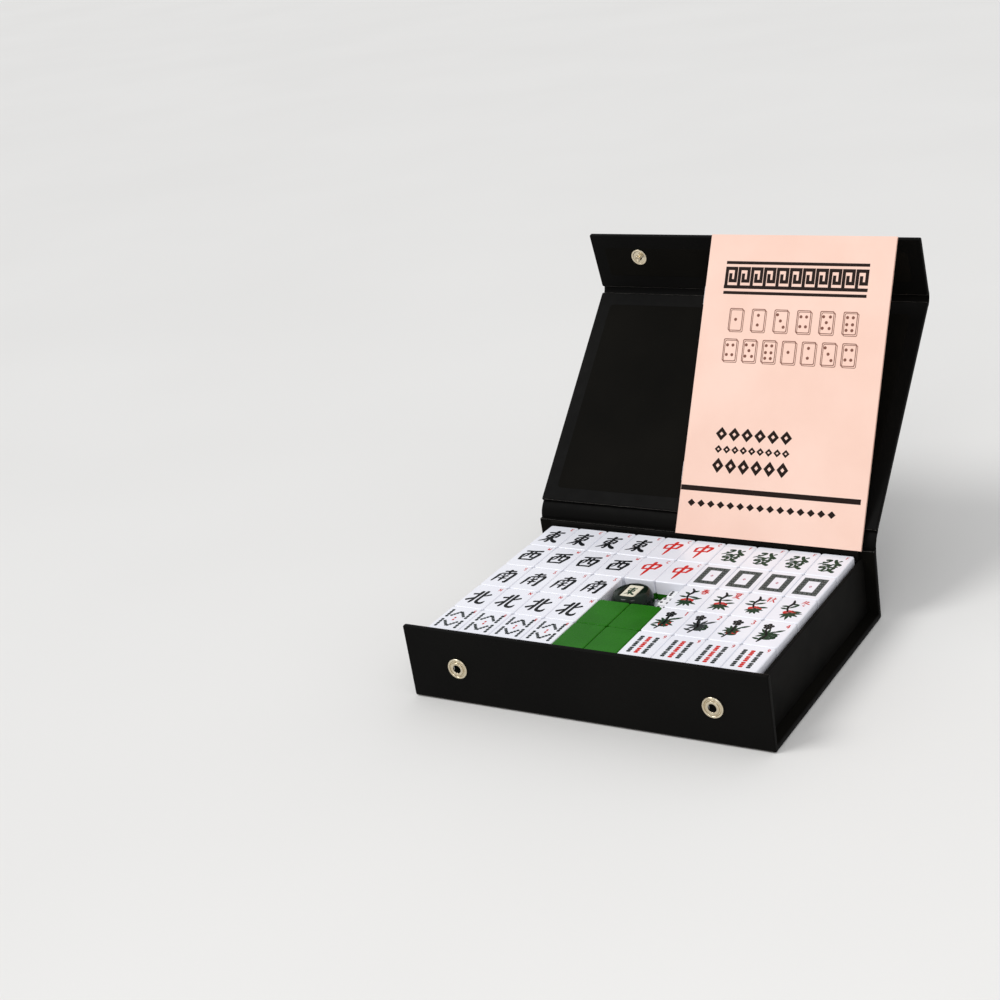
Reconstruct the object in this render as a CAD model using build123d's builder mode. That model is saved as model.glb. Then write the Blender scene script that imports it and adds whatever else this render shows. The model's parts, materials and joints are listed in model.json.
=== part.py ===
"""Travel mahjong case: a book-style case of covered boards round a card tray, with its tiles and accessories.

Millimetres. X runs along the hinge, Y from the front board to the spine, Z up. The origin is the middle of
the case's footprint, on the surface that it stands on. The case is open: the lid leans back on its crease,
the flap at its far edge is bent forward, and the booklet stands on the tray's back wall, in front of the lid.
"""

import os
from math import cos, radians, sin, sqrt

from build123d import *

os.makedirs("parts", exist_ok=True)

# ---- driving dimensions ----------------------------------------------------------------------------------

skin = 0.4  # leather-look covering
lining_skin = 0.3  # paper-backed lining inside
board = 2.6  # grey board in the covers
corner_round = 1.0  # outer fold of the covering round a board's corner

tile_width = 20.5
tile_length = 28.4
tile_thick = 12.6
tile_gap = 0.2  # between neighbouring tiles
tile_corner = 1.3  # corner cut seen from above
tile_edge = 0.6  # edge break round the upper side of a tile that shows
tile_columns = 10
tile_rows = 5
tile_layers = 3

tray_play_x = 1.1  # between the tiles and a side wall
tray_play_y = 1.3  # between the tiles and the front or back wall
wall = 2.2
wall_round = 0.7
cover_overhang = 7.5  # covers past the tray's side walls
floor_card = 0.9
side_wall_drop = 3.2  # side walls end this far below the tile tops
front_wall_rise = 1.2
back_wall_rise = 2.4

front_board_rise = 3.6  # front cover board's top edge above the tile tops
lid_clearance = 0.55  # closed lid above the front board's edge
spine_crease = 5.0  # crease zone between the spine board and the hinge line
lid_crease_zone = 6.5  # crease zone between the hinge line and the lid board
flap_crease_zone = 4.0  # crease zone each side of the flap's fold line
crease_play = 0.05  # between a crease bead and the strips that meet it

flap_length = 42.0
flap_gap = 1.9  # closed flap in front of the front board
lid_open = 136.6  # degrees from closed
flap_bend = 58.5  # degrees between lid and flap

snap_spacing = 161.0
stud_from_fold = 26.6
snap_taper = 0.25  # how far the sides of the pressed rings lean in
ring_width = 1.5
socket_radius = 6.4
socket_proud = 1.1
socket_dish = 0.4
socket_sheet = 0.3
collar_radius = 4.0
collar_proud = 1.3
socket_mouth = 2.5
socket_pocket = 3.0  # round the stud, where the two spring wires lie
socket_depth = 1.9  # cup below the covering's surface
stud_radius = 5.5
stud_flange = 0.5
stud_sheet = 0.25
stud_neck = 1.85
stud_post = 2.05
stud_bulge = 0.8  # length of the swollen tip
stud_bore = 1.2
stud_engagement = 1.2  # closed stud past the front cover's surface
spring_wire = 0.25
spring_sides = 6
spring_offset = 2.4
spring_length = 2.8
rivet_shank = 1.2
rivet_head = 4.2
rivet_thick = 0.4
rivet_play = 0.1
rivet_sides = 12  # the rivets are hidden in the boards

marker_radius = 12.9
marker_foot = 11.9
marker_waist = 4.8  # height of the widest ring
marker_rim = 0.9  # sloped rim round the flat top
marker_height = 12.8
marker_bands = 2  # straight bands that make up its curved side
marker_play = 0.4  # between the marker and the tile on its left
roller_face = 10.4
roller_length = 14.6
roller_round = 2.0
roller_play = 0.3
roller_end_play = 0.3
roller_drop = 0.5  # roller's face below the marker's rim
axle_radius = 0.8
axle_fit = 0.05
axle_seat = 0.02
axle_length = 19.0

dice_gap = 1.1  # between one die and the next
die_edge = 0.7
dice_margin = 0.7  # between the dice and the tiles round them
dice_lies = ((0.0, 2.0), (-0.8, -4.0), (0.1, 3.0))  # each die's sideways shift and its turn in degrees

booklet_width = 122.0
booklet_height = 187.0
booklet_thick = 1.5
booklet_sheet = 0.25
booklet_left = -15.0
booklet_lean = 60.0  # degrees above the horizontal
booklet_foot_back = 1.5  # booklet's foot behind the tiles' back edge
booklet_foot_play = 0.02  # between the booklet's foot and the tray's back wall
fold_round = 0.6
leaves_inset = 0.8  # leaves end short of the cover's loose edges
staple_wire = 0.4
staple_length = 12.0
staple_spacing = 110.0

# ---- sizes that follow -----------------------------------------------------------------------------------

pitch_x = tile_width + tile_gap
pitch_y = tile_length + tile_gap
tiles_half_x = tile_columns * pitch_x / 2
tiles_half_y = tile_rows * pitch_y / 2

base_top = skin + board + lining_skin
tile_base = base_top + floor_card
tile_top = tile_base + tile_layers * tile_thick
top_base = tile_top - tile_thick  # the top layer, the marker and the dice stand on this level

tray_half_x = tiles_half_x + tray_play_x
tray_half_y = tiles_half_y + tray_play_y
inner_half_y = tray_half_y + wall  # inner face of the lined front and spine boards
board_in_y = inner_half_y + lining_skin
board_out_y = board_in_y + board
outer_half_y = board_out_y + skin

half_width = tray_half_x + wall + cover_overhang
board_half_width = half_width - skin

side_wall_top = tile_top - side_wall_drop
back_wall_top = tile_top + back_wall_rise
front_top = tile_top + front_board_rise
bead_radius = (skin + lining_skin) / 2  # a crease is the covering and the lining stuck together
strip_start = bead_radius + crease_play  # strips end this far from a fold line

skin_low = -bead_radius  # depths across a hinged cover, from its outer face to its lined face
skin_high = skin_low + skin
board_high = skin_high + board
face_high = board_high + lining_skin

hinge_z = front_top + lid_clearance + face_high
hinge_y = outer_half_y - bead_radius
spine_top = hinge_z - spine_crease
strip_top = hinge_z - strip_start

lid_length = hinge_y + outer_half_y + flap_gap + face_high
snap_half = snap_spacing / 2
snap_places = ((-snap_half, 0), (snap_half, 0))
cup_radius = socket_pocket + socket_sheet
stud_reach = flap_gap + stud_engagement

lid_dir = (0, -cos(radians(lid_open)), sin(radians(lid_open)))
flap_angle = lid_open - flap_bend
flap_dir = (0, -cos(radians(flap_angle)), sin(radians(flap_angle)))
flap_dir_in = (0, -sin(radians(flap_angle)), -cos(radians(flap_angle)))
fold_y = hinge_y + lid_length * lid_dir[1]
fold_z = hinge_z + lid_length * lid_dir[2]

# Planes across the case: X of the sketch runs away from the hinge or fold, Y towards the lined face.
lid_plane = Plane(origin=(0, hinge_y, hinge_z), x_dir=lid_dir, z_dir=(1, 0, 0))
flap_plane = Plane(origin=(0, fold_y, fold_z), x_dir=flap_dir, z_dir=(1, 0, 0))
front_face = Plane(
    origin=(0, -outer_half_y, hinge_z - stud_from_fold),
    x_dir=(1, 0, 0),
    z_dir=(0, -1, 0),
)
flap_face = Plane(
    origin=(
        0,
        fold_y + stud_from_fold * flap_dir[1] + face_high * flap_dir_in[1],
        fold_z + stud_from_fold * flap_dir[2] + face_high * flap_dir_in[2],
    ),
    x_dir=(1, 0, 0),
    z_dir=flap_dir_in,
)
socket_base = front_face.offset(-skin - board)  # inner side of the front board, facing out
stud_base = flap_face.offset(-lining_skin - board)  # outer side of the flap's board, facing in
booklet_plane = Plane(
    origin=(
        booklet_left + booklet_width / 2,
        tiles_half_y + booklet_foot_back,
        back_wall_top + booklet_foot_play + booklet_thick / 2 * cos(radians(booklet_lean)),
    ),
    x_dir=(1, 0, 0),
    z_dir=(0, -sin(radians(booklet_lean)), cos(radians(booklet_lean))),
)

standing = (Align.CENTER, Align.CENTER, Align.MIN)
hanging = (Align.CENTER, Align.CENTER, Align.MAX)


def finish(piece, name):
    """Label a finished piece and write it."""
    piece.part.label = name
    export_step(piece.part, f"parts/{name}.step")


def snap_prisms(plane, radius, depth, mode=Mode.ADD):
    """Add or cut a prism as wide as a rivet's head or shank at each snap, standing on a plane."""
    with BuildSketch(plane) as outlines:
        with Locations(*snap_places):
            RegularPolygon(radius, rivet_sides)
    extrude(outlines.sketch, amount=depth, mode=mode)


# ---- fixed cover: bottom, front and spine boards in one covering -------------------------------------------

with BuildPart() as bottom_board:
    with BuildSketch(Plane.YZ):
        with Locations((0, skin + board / 2)):
            Rectangle(2 * board_in_y, board)
    extrude(amount=board_half_width, both=True)
finish(bottom_board, "bottom_board")

with BuildPart() as front_board:
    with BuildSketch(Plane.YZ):
        with Locations((-board_in_y, skin)):
            Rectangle(board, front_top - 2 * skin, align=(Align.MAX, Align.MIN))
    extrude(amount=board_half_width, both=True)
    with Locations(front_face):
        with Locations(*snap_places):
            Cylinder(cup_radius + rivet_play, socket_depth, align=hanging, mode=Mode.SUBTRACT)
    snap_prisms(socket_base, rivet_shank + rivet_play, 2 * board, Mode.SUBTRACT)
    snap_prisms(socket_base, rivet_head + rivet_play, rivet_thick, Mode.SUBTRACT)
finish(front_board, "front_board")

with BuildPart() as spine_board:
    with BuildSketch(Plane.YZ):
        with Locations((board_in_y, skin)):
            Rectangle(board, spine_top - skin, align=(Align.MIN, Align.MIN))
    extrude(amount=board_half_width, both=True)
finish(spine_board, "spine_board")

lining_outline = (
    (-board_in_y, front_top - skin),
    (-board_in_y, skin + board),
    (board_in_y, skin + board),
    (board_in_y, spine_top),
    (board_out_y, spine_top),
    (board_out_y, strip_top),
    (board_out_y - lining_skin, strip_top),
    (board_out_y - lining_skin, spine_top + lining_skin),
    (inner_half_y, spine_top + lining_skin),
    (inner_half_y, base_top),
    (-inner_half_y, base_top),
    (-inner_half_y, front_top - skin),
)
with BuildPart() as cover_lining:
    with BuildSketch(Plane.YZ):
        with BuildLine():
            Polyline(*lining_outline, close=True)
        make_face()
    extrude(amount=board_half_width, both=True)
finish(cover_lining, "cover_lining")

with BuildPart() as cover_wrap:
    with BuildSketch(Plane.YZ) as wrap_section:
        with BuildLine():
            Polyline(
                (-outer_half_y, front_top),
                (-outer_half_y, 0),
                (outer_half_y, 0),
                (outer_half_y, strip_top),
                (board_out_y - lining_skin, strip_top),
                (board_out_y - lining_skin, spine_top + lining_skin),
                (inner_half_y, spine_top + lining_skin),
                (inner_half_y, base_top),
                (-inner_half_y, base_top),
                (-inner_half_y, front_top),
                close=True,
            )
        make_face()
        fillet(wrap_section.vertices().group_by(Axis.Y)[0], corner_round)
    extrude(amount=half_width, both=True)
    with BuildSketch(Plane.YZ):  # room for the boards and the lining
        with BuildLine():
            Polyline(
                (-board_out_y, front_top - skin),
                (-board_out_y, skin),
                (board_out_y, skin),
                (board_out_y, strip_top),
                *lining_outline[6:],
                close=True,
            )
        make_face()
    extrude(amount=board_half_width, both=True, mode=Mode.SUBTRACT)
    with Locations(front_face):
        with Locations(*snap_places):
            Cylinder(cup_radius + rivet_play, board, mode=Mode.SUBTRACT)
finish(cover_wrap, "cover_wrap")

# ---- hinged covers -----------------------------------------------------------------------------------------


def panel_outlines(start, board_start, board_end, end, free_edge):
    """Outlines across a hinged cover, as (distance from its fold line, depth): board, lining, covering."""
    lining_start = board_start - lining_skin
    lining_end = board_end if free_edge else board_end + lining_skin
    turned_in = end - skin if free_edge else end
    start_step = [(lining_start, face_high), (lining_start, bead_radius), (start, bead_radius)]
    end_step = [] if free_edge else [(end, bead_radius), (lining_end, bead_radius)]
    end_rise = [] if free_edge else [(end, skin_high), (board_end, skin_high)]
    board_box = [
        (board_start, skin_high),
        (board_end, skin_high),
        (board_end, board_high),
        (board_start, board_high),
    ]
    lining = [
        (start, skin_high),
        (board_start, skin_high),
        (board_start, board_high),
        (board_end, board_high),
        *reversed(end_rise),
        *end_step,
        (lining_end, face_high),
        *start_step,
    ]
    covering_end = end if free_edge else lining_end
    covering = [(start, skin_low), (end, skin_low), *end_step, (covering_end, face_high), *start_step]
    hollow = [(start, skin_high), (turned_in, skin_high), *end_step, (lining_end, face_high), *start_step]
    return board_box, lining, covering, hollow


def cover_panel(name, plane, outlines, has_studs=False):
    """Make and write the board, the lining and the covering of one hinged cover."""
    board_box, lining_points, covering_points, hollow_points = outlines
    with BuildPart() as panel_board:
        with BuildSketch(plane):
            with BuildLine():
                Polyline(*board_box, close=True)
            make_face()
        extrude(amount=board_half_width, both=True)
        if has_studs:
            snap_prisms(stud_base, rivet_shank + rivet_play, 2 * board, Mode.SUBTRACT)
            snap_prisms(stud_base, rivet_head + rivet_play, rivet_thick, Mode.SUBTRACT)
    finish(panel_board, f"{name}_board")
    with BuildPart() as panel_lining:
        with BuildSketch(plane):
            with BuildLine():
                Polyline(*lining_points, close=True)
            make_face()
        extrude(amount=board_half_width, both=True)
        if has_studs:
            snap_prisms(stud_base, rivet_shank + rivet_play, 2 * board, Mode.SUBTRACT)
    finish(panel_lining, f"{name}_lining")
    with BuildPart() as panel_wrap:
        with BuildSketch(plane):
            with BuildLine():
                Polyline(*covering_points, close=True)
            make_face()
        extrude(amount=half_width, both=True)
        with BuildSketch(plane):
            with BuildLine():
                Polyline(*hollow_points, close=True)
            make_face()
        extrude(amount=board_half_width, both=True, mode=Mode.SUBTRACT)
    finish(panel_wrap, f"{name}_wrap")


def crease_bead(name, plane):
    """The rounded ridge of a crease, on its fold line."""
    with BuildPart() as bead:
        with BuildSketch(plane):
            Circle(bead_radius)
        extrude(amount=half_width, both=True)
    finish(bead, name)


lid_outlines = panel_outlines(
    strip_start, lid_crease_zone, lid_length - flap_crease_zone, lid_length - strip_start, False
)
flap_outlines = panel_outlines(strip_start, flap_crease_zone, flap_length - skin, flap_length, True)
cover_panel("lid", lid_plane, lid_outlines)
cover_panel("flap", flap_plane, flap_outlines, has_studs=True)
crease_bead("lid_crease", lid_plane)
crease_bead("flap_crease", flap_plane)

# ---- tray --------------------------------------------------------------------------------------------------

with BuildPart() as tray_floor:
    with Locations((0, 0, base_top)):
        Box(2 * tray_half_x, 2 * tray_half_y, floor_card, align=standing)
finish(tray_floor, "tray_floor")


def cross_wall(name, side, top):
    """A wall between the side walls, along the front board (side -1) or the spine board (side 1)."""
    with BuildPart() as piece:
        with BuildSketch(Plane.YZ) as section:
            with Locations((side * (tray_half_y + wall / 2), base_top)):
                Rectangle(wall, top - base_top, align=(Align.CENTER, Align.MIN))
            fillet(section.vertices().group_by(Axis.Z)[-1], wall_round)
        extrude(amount=tray_half_x, both=True)
    finish(piece, name)


def side_wall(name, side):
    """A wall from the front board to the spine board, on the left (side -1) or the right (side 1)."""
    with BuildPart() as piece:
        with BuildSketch(Plane.XZ) as section:
            with Locations((side * (tray_half_x + wall / 2), base_top)):
                Rectangle(wall, side_wall_top - base_top, align=(Align.CENTER, Align.MIN))
            fillet(section.vertices().group_by(Axis.Z)[-1], wall_round)
        extrude(amount=inner_half_y, both=True)
    finish(piece, name)


cross_wall("tray_front_wall", -1, tile_top + front_wall_rise)
cross_wall("tray_back_wall", 1, back_wall_top)
side_wall("tray_left_wall", -1)
side_wall("tray_right_wall", 1)

# ---- snap fasteners ----------------------------------------------------------------------------------------

pocket_top = 2 * spring_wire + socket_sheet
ring_inside = socket_radius - ring_width
with BuildPart() as socket_form:
    with BuildSketch(Plane.XZ):
        with BuildLine():
            Polyline(
                (0, -socket_depth),
                (cup_radius, -socket_depth),
                (cup_radius, 0),
                (socket_radius, 0),
                (socket_radius - snap_taper, socket_proud),
                (ring_inside, socket_proud),
                (ring_inside, socket_dish),
                (collar_radius, socket_dish),
                (collar_radius - snap_taper, collar_proud),
                (socket_mouth, collar_proud),
                (socket_mouth, pocket_top),
                (socket_pocket, pocket_top),
                (socket_pocket, 0),
                (socket_mouth, 0),
                (socket_mouth, socket_sheet - socket_depth),
                (0, socket_sheet - socket_depth),
                close=True,
            )
        make_face()
    revolve(axis=Axis.Z)

with BuildPart() as stud_form:
    with BuildSketch(Plane.XZ):
        with BuildLine():
            Polyline(
                (0, 0),
                (stud_radius, 0),
                (stud_radius - snap_taper, stud_flange),
                (stud_radius - ring_width, stud_flange),
                (stud_radius - ring_width, stud_sheet),
                (stud_neck, stud_sheet),
                (stud_neck, stud_reach - stud_bulge),
                (stud_post, stud_reach - stud_bulge / 2),
                (stud_neck, stud_reach),
                (stud_bore, stud_reach),
                (stud_bore, stud_sheet),
                (0, stud_sheet),
                close=True,
            )
        make_face()
    revolve(axis=Axis.Z)

with BuildPart() as snap_sockets:
    with Locations(front_face):
        with Locations(*snap_places):
            add(socket_form.part)
finish(snap_sockets, "snap_sockets")

spring_places = [
    (snap_x + side * spring_offset, -outer_half_y - spring_wire)
    for snap_x in (-snap_half, snap_half)
    for side in (-1, 1)
]
with BuildPart() as snap_springs:
    with BuildSketch(Plane.XY.offset(front_face.origin.Z)):
        with Locations(*spring_places):
            RegularPolygon(spring_wire, spring_sides)
    extrude(amount=spring_length / 2, both=True)
finish(snap_springs, "snap_springs")

with BuildPart() as socket_rivets:
    snap_prisms(socket_base, rivet_head, rivet_thick)
    snap_prisms(socket_base, rivet_shank, skin + board - socket_depth)
finish(socket_rivets, "socket_rivets")

with BuildPart() as snap_studs:
    with Locations(flap_face):
        with Locations(*snap_places):
            add(stud_form.part)
finish(snap_studs, "snap_studs")

with BuildPart() as stud_rivets:
    snap_prisms(stud_base, rivet_head, rivet_thick)
    snap_prisms(stud_base, rivet_shank, lining_skin + board)
finish(stud_rivets, "stud_rivets")

# ---- tiles: three layers, the top one face up apart from four turned face down --------------------------------


def tile_place(column, row):
    """Middle of a tile; columns count from the left, rows from the front."""
    return ((column - (tile_columns - 1) / 2) * pitch_x, (row - (tile_rows - 1) / 2) * pitch_y)


def tile_group(name, level, cells, edges_broken):
    """Tiles side by side, each with its corners cut and, if it shows, its upper edges broken."""
    with BuildPart() as tiles:
        with BuildSketch(Plane.XY.offset(level)) as outlines:
            with Locations(*[tile_place(column, row) for column, row in cells]):
                Rectangle(tile_width, tile_length)
            chamfer(outlines.vertices(), tile_corner)
        extrude(amount=tile_thick)
        if edges_broken:
            chamfer(tiles.faces().group_by(Axis.Z)[-1].edges(), tile_edge)
    finish(tiles, name)


full_layer = [(column, row) for column in range(tile_columns) for row in range(tile_rows)]
left_four = range(4)
middle_two = range(4, 6)
right_four = range(6, 10)
top_groups = {
    "east_wind_tiles": [(column, 4) for column in left_four],
    "west_wind_tiles": [(column, 3) for column in left_four],
    "south_wind_tiles": [(column, 2) for column in left_four],
    "north_wind_tiles": [(column, 1) for column in left_four],
    "bamboo_eight_tiles": [(column, 0) for column in left_four],
    "red_dragon_tiles": [(column, row) for column in middle_two for row in (3, 4)],
    "face_down_tiles": [(column, row) for column in middle_two for row in (0, 1)],
    "green_dragon_tiles": [(column, 4) for column in right_four],
    "white_dragon_tiles": [(column, 3) for column in right_four],
    "season_tiles": [(column, 2) for column in right_four],
    "plant_tiles": [(column, 1) for column in right_four],
    "bamboo_nine_tiles": [(column, 0) for column in right_four],
}
tile_group("bottom_row_tiles", tile_base, full_layer, edges_broken=False)
tile_group("middle_row_tiles", tile_base + tile_thick, full_layer, edges_broken=False)
for group_name, group_cells in top_groups.items():
    tile_group(group_name, top_base, group_cells, edges_broken=True)

# ---- direction marker: a puck round a four-sided roller -------------------------------------------------------

marker_x = -pitch_x + tile_gap / 2 + marker_radius + marker_play
roller_z = top_base + marker_height - roller_drop - roller_face / 2
roller_reach = (roller_face / 2 - roller_round) * sqrt(2) + roller_round
slot_length = roller_length + 2 * roller_end_play
marker_plane = Plane(origin=(marker_x, 0, top_base))
roller_plane = Plane(origin=(marker_x, 0, roller_z), x_dir=(1, 0, 0), z_dir=(0, -1, 0))

side_height = marker_height - marker_rim
side_curve = (marker_radius - marker_foot) / marker_waist**2
band_heights = [side_height * band / marker_bands for band in range(marker_bands + 1)]
side_points = [(marker_radius - side_curve * (level - marker_waist) ** 2, level) for level in band_heights]
rim_radius = side_points[-1][0] - marker_rim
with BuildPart() as marker_form:
    with BuildSketch(Plane.XZ):
        with BuildLine():
            Polyline((0, 0), *side_points, (rim_radius, marker_height), (0, marker_height), close=True)
        make_face()
    revolve(axis=Axis.Z)

with BuildPart() as marker_body:
    with Locations(marker_plane):
        add(marker_form.part)
        Box(
            roller_face + 2 * roller_play,
            slot_length,
            3 * marker_height,
            mode=Mode.SUBTRACT,
        )
    with Locations(roller_plane):
        Cylinder(roller_reach + roller_play, slot_length, mode=Mode.SUBTRACT)
        Cylinder(axle_radius + axle_seat, axle_length, mode=Mode.SUBTRACT)
finish(marker_body, "marker_body")

with BuildPart() as marker_roller:
    with BuildSketch(roller_plane) as roller_section:
        Rectangle(roller_face, roller_face)
        fillet(roller_section.vertices(), roller_round)
        Circle(axle_radius + axle_fit, mode=Mode.SUBTRACT)
    extrude(amount=roller_length / 2, both=True)
finish(marker_roller, "marker_roller")

with BuildPart() as marker_axle:
    with Locations(roller_plane):
        Cylinder(axle_radius, axle_length)
finish(marker_axle, "marker_axle")

# ---- dice ----------------------------------------------------------------------------------------------------

die_size = (pitch_y + tile_gap - 2 * dice_margin - 2 * dice_gap) / 3  # three fill the gap's length
dice_x = pitch_x - tile_gap / 2 - die_size / 2 - dice_margin
dice_pitch = die_size + dice_gap
for number, (shift, turn) in enumerate(dice_lies, start=1):
    die_place = (dice_x + shift, (number - 2) * dice_pitch, top_base)
    with BuildPart() as die:
        with Locations(Location(die_place, (0, 0, turn))):
            Box(die_size, die_size, die_size, align=standing)
        chamfer(die.edges(), die_edge)
    finish(die, f"die_{number}")

# ---- booklet: folded cover, leaves and two staples ---------------------------------------------------------------

leaves_thick = booklet_thick - 2 * booklet_sheet
with BuildPart() as booklet_cover:
    with Locations(booklet_plane):
        Box(booklet_width, booklet_height, booklet_thick, align=(Align.CENTER, Align.MIN, Align.CENTER))
        with Locations((booklet_sheet, 0)):
            Box(
                booklet_width,
                booklet_height,
                leaves_thick,
                align=(Align.CENTER, Align.MIN, Align.CENTER),
                mode=Mode.SUBTRACT,
            )
    upright = Axis(booklet_plane.origin, booklet_plane.y_dir)
    fillet(booklet_cover.edges().filter_by(upright).group_by(Axis.X)[0], fold_round)
finish(booklet_cover, "booklet_cover")

with BuildPart() as booklet_leaves:
    with Locations(booklet_plane):
        with Locations((-booklet_width / 2 + booklet_sheet, 0)):
            Box(
                booklet_width - booklet_sheet - leaves_inset,
                booklet_height,
                leaves_thick,
                align=(Align.MIN, Align.MIN, Align.CENTER),
            )
finish(booklet_leaves, "booklet_leaves")

with BuildPart() as booklet_staples:
    with Locations(booklet_plane):
        with Locations((-booklet_width / 2, booklet_height / 2)):
            with Locations((0, -staple_spacing / 2), (0, staple_spacing / 2)):
                Box(staple_wire, staple_length, staple_wire, align=(Align.MAX, Align.CENTER, Align.CENTER))
finish(booklet_staples, "booklet_staples")
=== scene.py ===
"""Looks of the travel mahjong case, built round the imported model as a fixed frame.

Metres, in the frame's own axes: X along the hinge, Y from the front board to the spine, Z up. Every place is
taken from the frame: from a node's box, a joint, or sizes that are written once below.
"""

import json
from math import cos, pi, radians, sin

import bpy
from mathutils import Euler, Matrix, Vector


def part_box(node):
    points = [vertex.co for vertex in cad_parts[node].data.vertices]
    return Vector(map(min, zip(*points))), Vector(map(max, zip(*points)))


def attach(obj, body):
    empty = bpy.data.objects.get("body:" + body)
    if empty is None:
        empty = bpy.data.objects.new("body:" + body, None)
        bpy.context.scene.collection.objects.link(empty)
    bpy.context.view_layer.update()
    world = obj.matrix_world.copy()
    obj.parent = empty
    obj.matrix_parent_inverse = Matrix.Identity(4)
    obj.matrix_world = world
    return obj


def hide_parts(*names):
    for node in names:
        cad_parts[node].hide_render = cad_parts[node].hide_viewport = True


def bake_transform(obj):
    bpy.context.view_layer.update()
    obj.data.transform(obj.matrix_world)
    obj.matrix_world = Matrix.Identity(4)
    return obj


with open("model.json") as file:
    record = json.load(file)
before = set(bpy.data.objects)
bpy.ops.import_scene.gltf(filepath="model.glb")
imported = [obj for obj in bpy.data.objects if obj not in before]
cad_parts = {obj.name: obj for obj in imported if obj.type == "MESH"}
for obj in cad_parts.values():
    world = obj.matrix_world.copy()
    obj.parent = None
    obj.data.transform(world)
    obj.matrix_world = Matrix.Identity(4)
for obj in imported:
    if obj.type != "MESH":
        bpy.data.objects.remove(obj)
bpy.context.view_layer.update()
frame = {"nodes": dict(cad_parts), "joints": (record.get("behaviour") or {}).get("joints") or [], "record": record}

MM = 0.001
joints = {joint["name"]: joint for joint in frame["joints"]}
scene = bpy.context.scene

# ---- places that the frame gives ----

half_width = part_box("cover_wrap")[1].x
hinge = Vector(joints["lid_hinge"]["pos_m"])
fold = Vector(joints["flap_fold"]["pos_m"])
lid_dir = (fold - hinge).normalized()
flap_bend = radians(joints["flap_fold"]["range_deg"][1])
flap_dir = Matrix.Rotation(flap_bend, 3, "X") @ lid_dir
outer_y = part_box("cover_wrap")[1].y

# ---- materials ----


class Finish:
    """A procedural material: a shader with colour variation, roughness and relief from textures."""

    def __init__(self, name, color, roughness, metallic=0.0, coat=0.0, specular=0.5):
        self.material = bpy.data.materials.new(name)
        self.material.use_nodes = True
        self.nodes = self.material.node_tree.nodes
        self.links = self.material.node_tree.links
        self.shader = self.nodes["Principled BSDF"]
        self.shader.inputs["Base Color"].default_value = (*color, 1)
        self.shader.inputs["Roughness"].default_value = roughness
        self.shader.inputs["Metallic"].default_value = metallic
        self.shader.inputs["Coat Weight"].default_value = coat
        self.shader.inputs["Specular IOR Level"].default_value = specular
        self.color = color
        self.place = self.nodes.new("ShaderNodeTexCoord").outputs["Object"]
        self.height = None

    def noise(self, scale, detail=3.0, stretch=(1, 1, 1)):
        mapping = self.nodes.new("ShaderNodeMapping")
        mapping.inputs["Scale"].default_value = stretch
        self.links.new(self.place, mapping.inputs["Vector"])
        texture = self.nodes.new("ShaderNodeTexNoise")
        texture.inputs["Scale"].default_value = scale
        texture.inputs["Detail"].default_value = detail
        self.links.new(mapping.outputs["Vector"], texture.inputs["Vector"])
        return texture.outputs["Fac"]

    def cells(self, scale, feature="DISTANCE_TO_EDGE"):
        texture = self.nodes.new("ShaderNodeTexVoronoi")
        texture.feature = feature
        texture.inputs["Scale"].default_value = scale
        self.links.new(self.place, texture.inputs["Vector"])
        return texture.outputs["Distance"]

    def vary(self, factor, other, low=0.35, high=0.65, amount=1.0):
        """Blend the colour towards another one where the factor is high."""
        ramp = self.nodes.new("ShaderNodeValToRGB")
        ramp.color_ramp.elements[0].position = low
        ramp.color_ramp.elements[1].position = high
        ramp.color_ramp.elements[0].color = (*self.color, 1)
        mixed = [a + (b - a) * amount for a, b in zip(self.color, other)]
        ramp.color_ramp.elements[1].color = (*mixed, 1)
        self.links.new(factor, ramp.inputs["Fac"])
        self.links.new(ramp.outputs["Color"], self.shader.inputs["Base Color"])
        return self

    def rough(self, factor, low, high):
        span = self.nodes.new("ShaderNodeMapRange")
        span.inputs["To Min"].default_value = low
        span.inputs["To Max"].default_value = high
        self.links.new(factor, span.inputs["Value"])
        self.links.new(span.outputs["Result"], self.shader.inputs["Roughness"])
        return self

    def relief(self, factor, strength, depth):
        """Add a bump, on top of the ones before it."""
        bump = self.nodes.new("ShaderNodeBump")
        bump.inputs["Strength"].default_value = strength
        bump.inputs["Distance"].default_value = depth
        self.links.new(factor, bump.inputs["Height"])
        if self.height:
            self.links.new(self.height, bump.inputs["Normal"])
        self.height = bump.outputs["Normal"]
        self.links.new(self.height, self.shader.inputs["Normal"])
        return self


def leatherette_finish():
    finish = Finish("leatherette", (0.0026, 0.0025, 0.0023), 0.5, specular=0.04)
    finish.vary(finish.noise(9, 4), (0.0046, 0.0043, 0.0038))
    finish.rough(finish.noise(160, 5), 0.42, 0.6)
    finish.relief(finish.cells(950), 0.35, 0.00012)
    return finish.relief(finish.noise(420, 6), 0.3, 0.0002).material


def lining_finish():
    finish = Finish("lining", (0.0030, 0.0027, 0.0020), 0.7, specular=0.04)
    finish.vary(finish.noise(14, 4), (0.0052, 0.0046, 0.0034))
    finish.relief(finish.noise(1500, 2, (1, 0.35, 0.35)), 0.25, 0.00008)
    return finish.relief(finish.noise(300, 6), 0.15, 0.0002).material


def made(name, color, other, roughness, patches, grains, wear=None, **shader):
    """A material with patches of another colour, uneven roughness and grains of relief, all from noise."""
    finish = Finish(name, color, roughness, **shader)
    finish.vary(finish.noise(*patches), other)
    if wear:
        scale, detail, low, high = wear
        finish.rough(finish.noise(scale, detail), low, high)
    for scale, detail, strength, depth in grains:
        finish.relief(finish.noise(scale, detail), strength, depth)
    return finish.material


def ink_finish(name, color):
    finish = Finish(name, color, 0.4, specular=0.08)
    finish.vary(finish.noise(2500, 3), tuple(min(1, v * 1.4 + 0.004) for v in color), 0.45, 0.8)
    return finish.relief(finish.noise(1800, 3), 0.15, 0.00005).material


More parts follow.
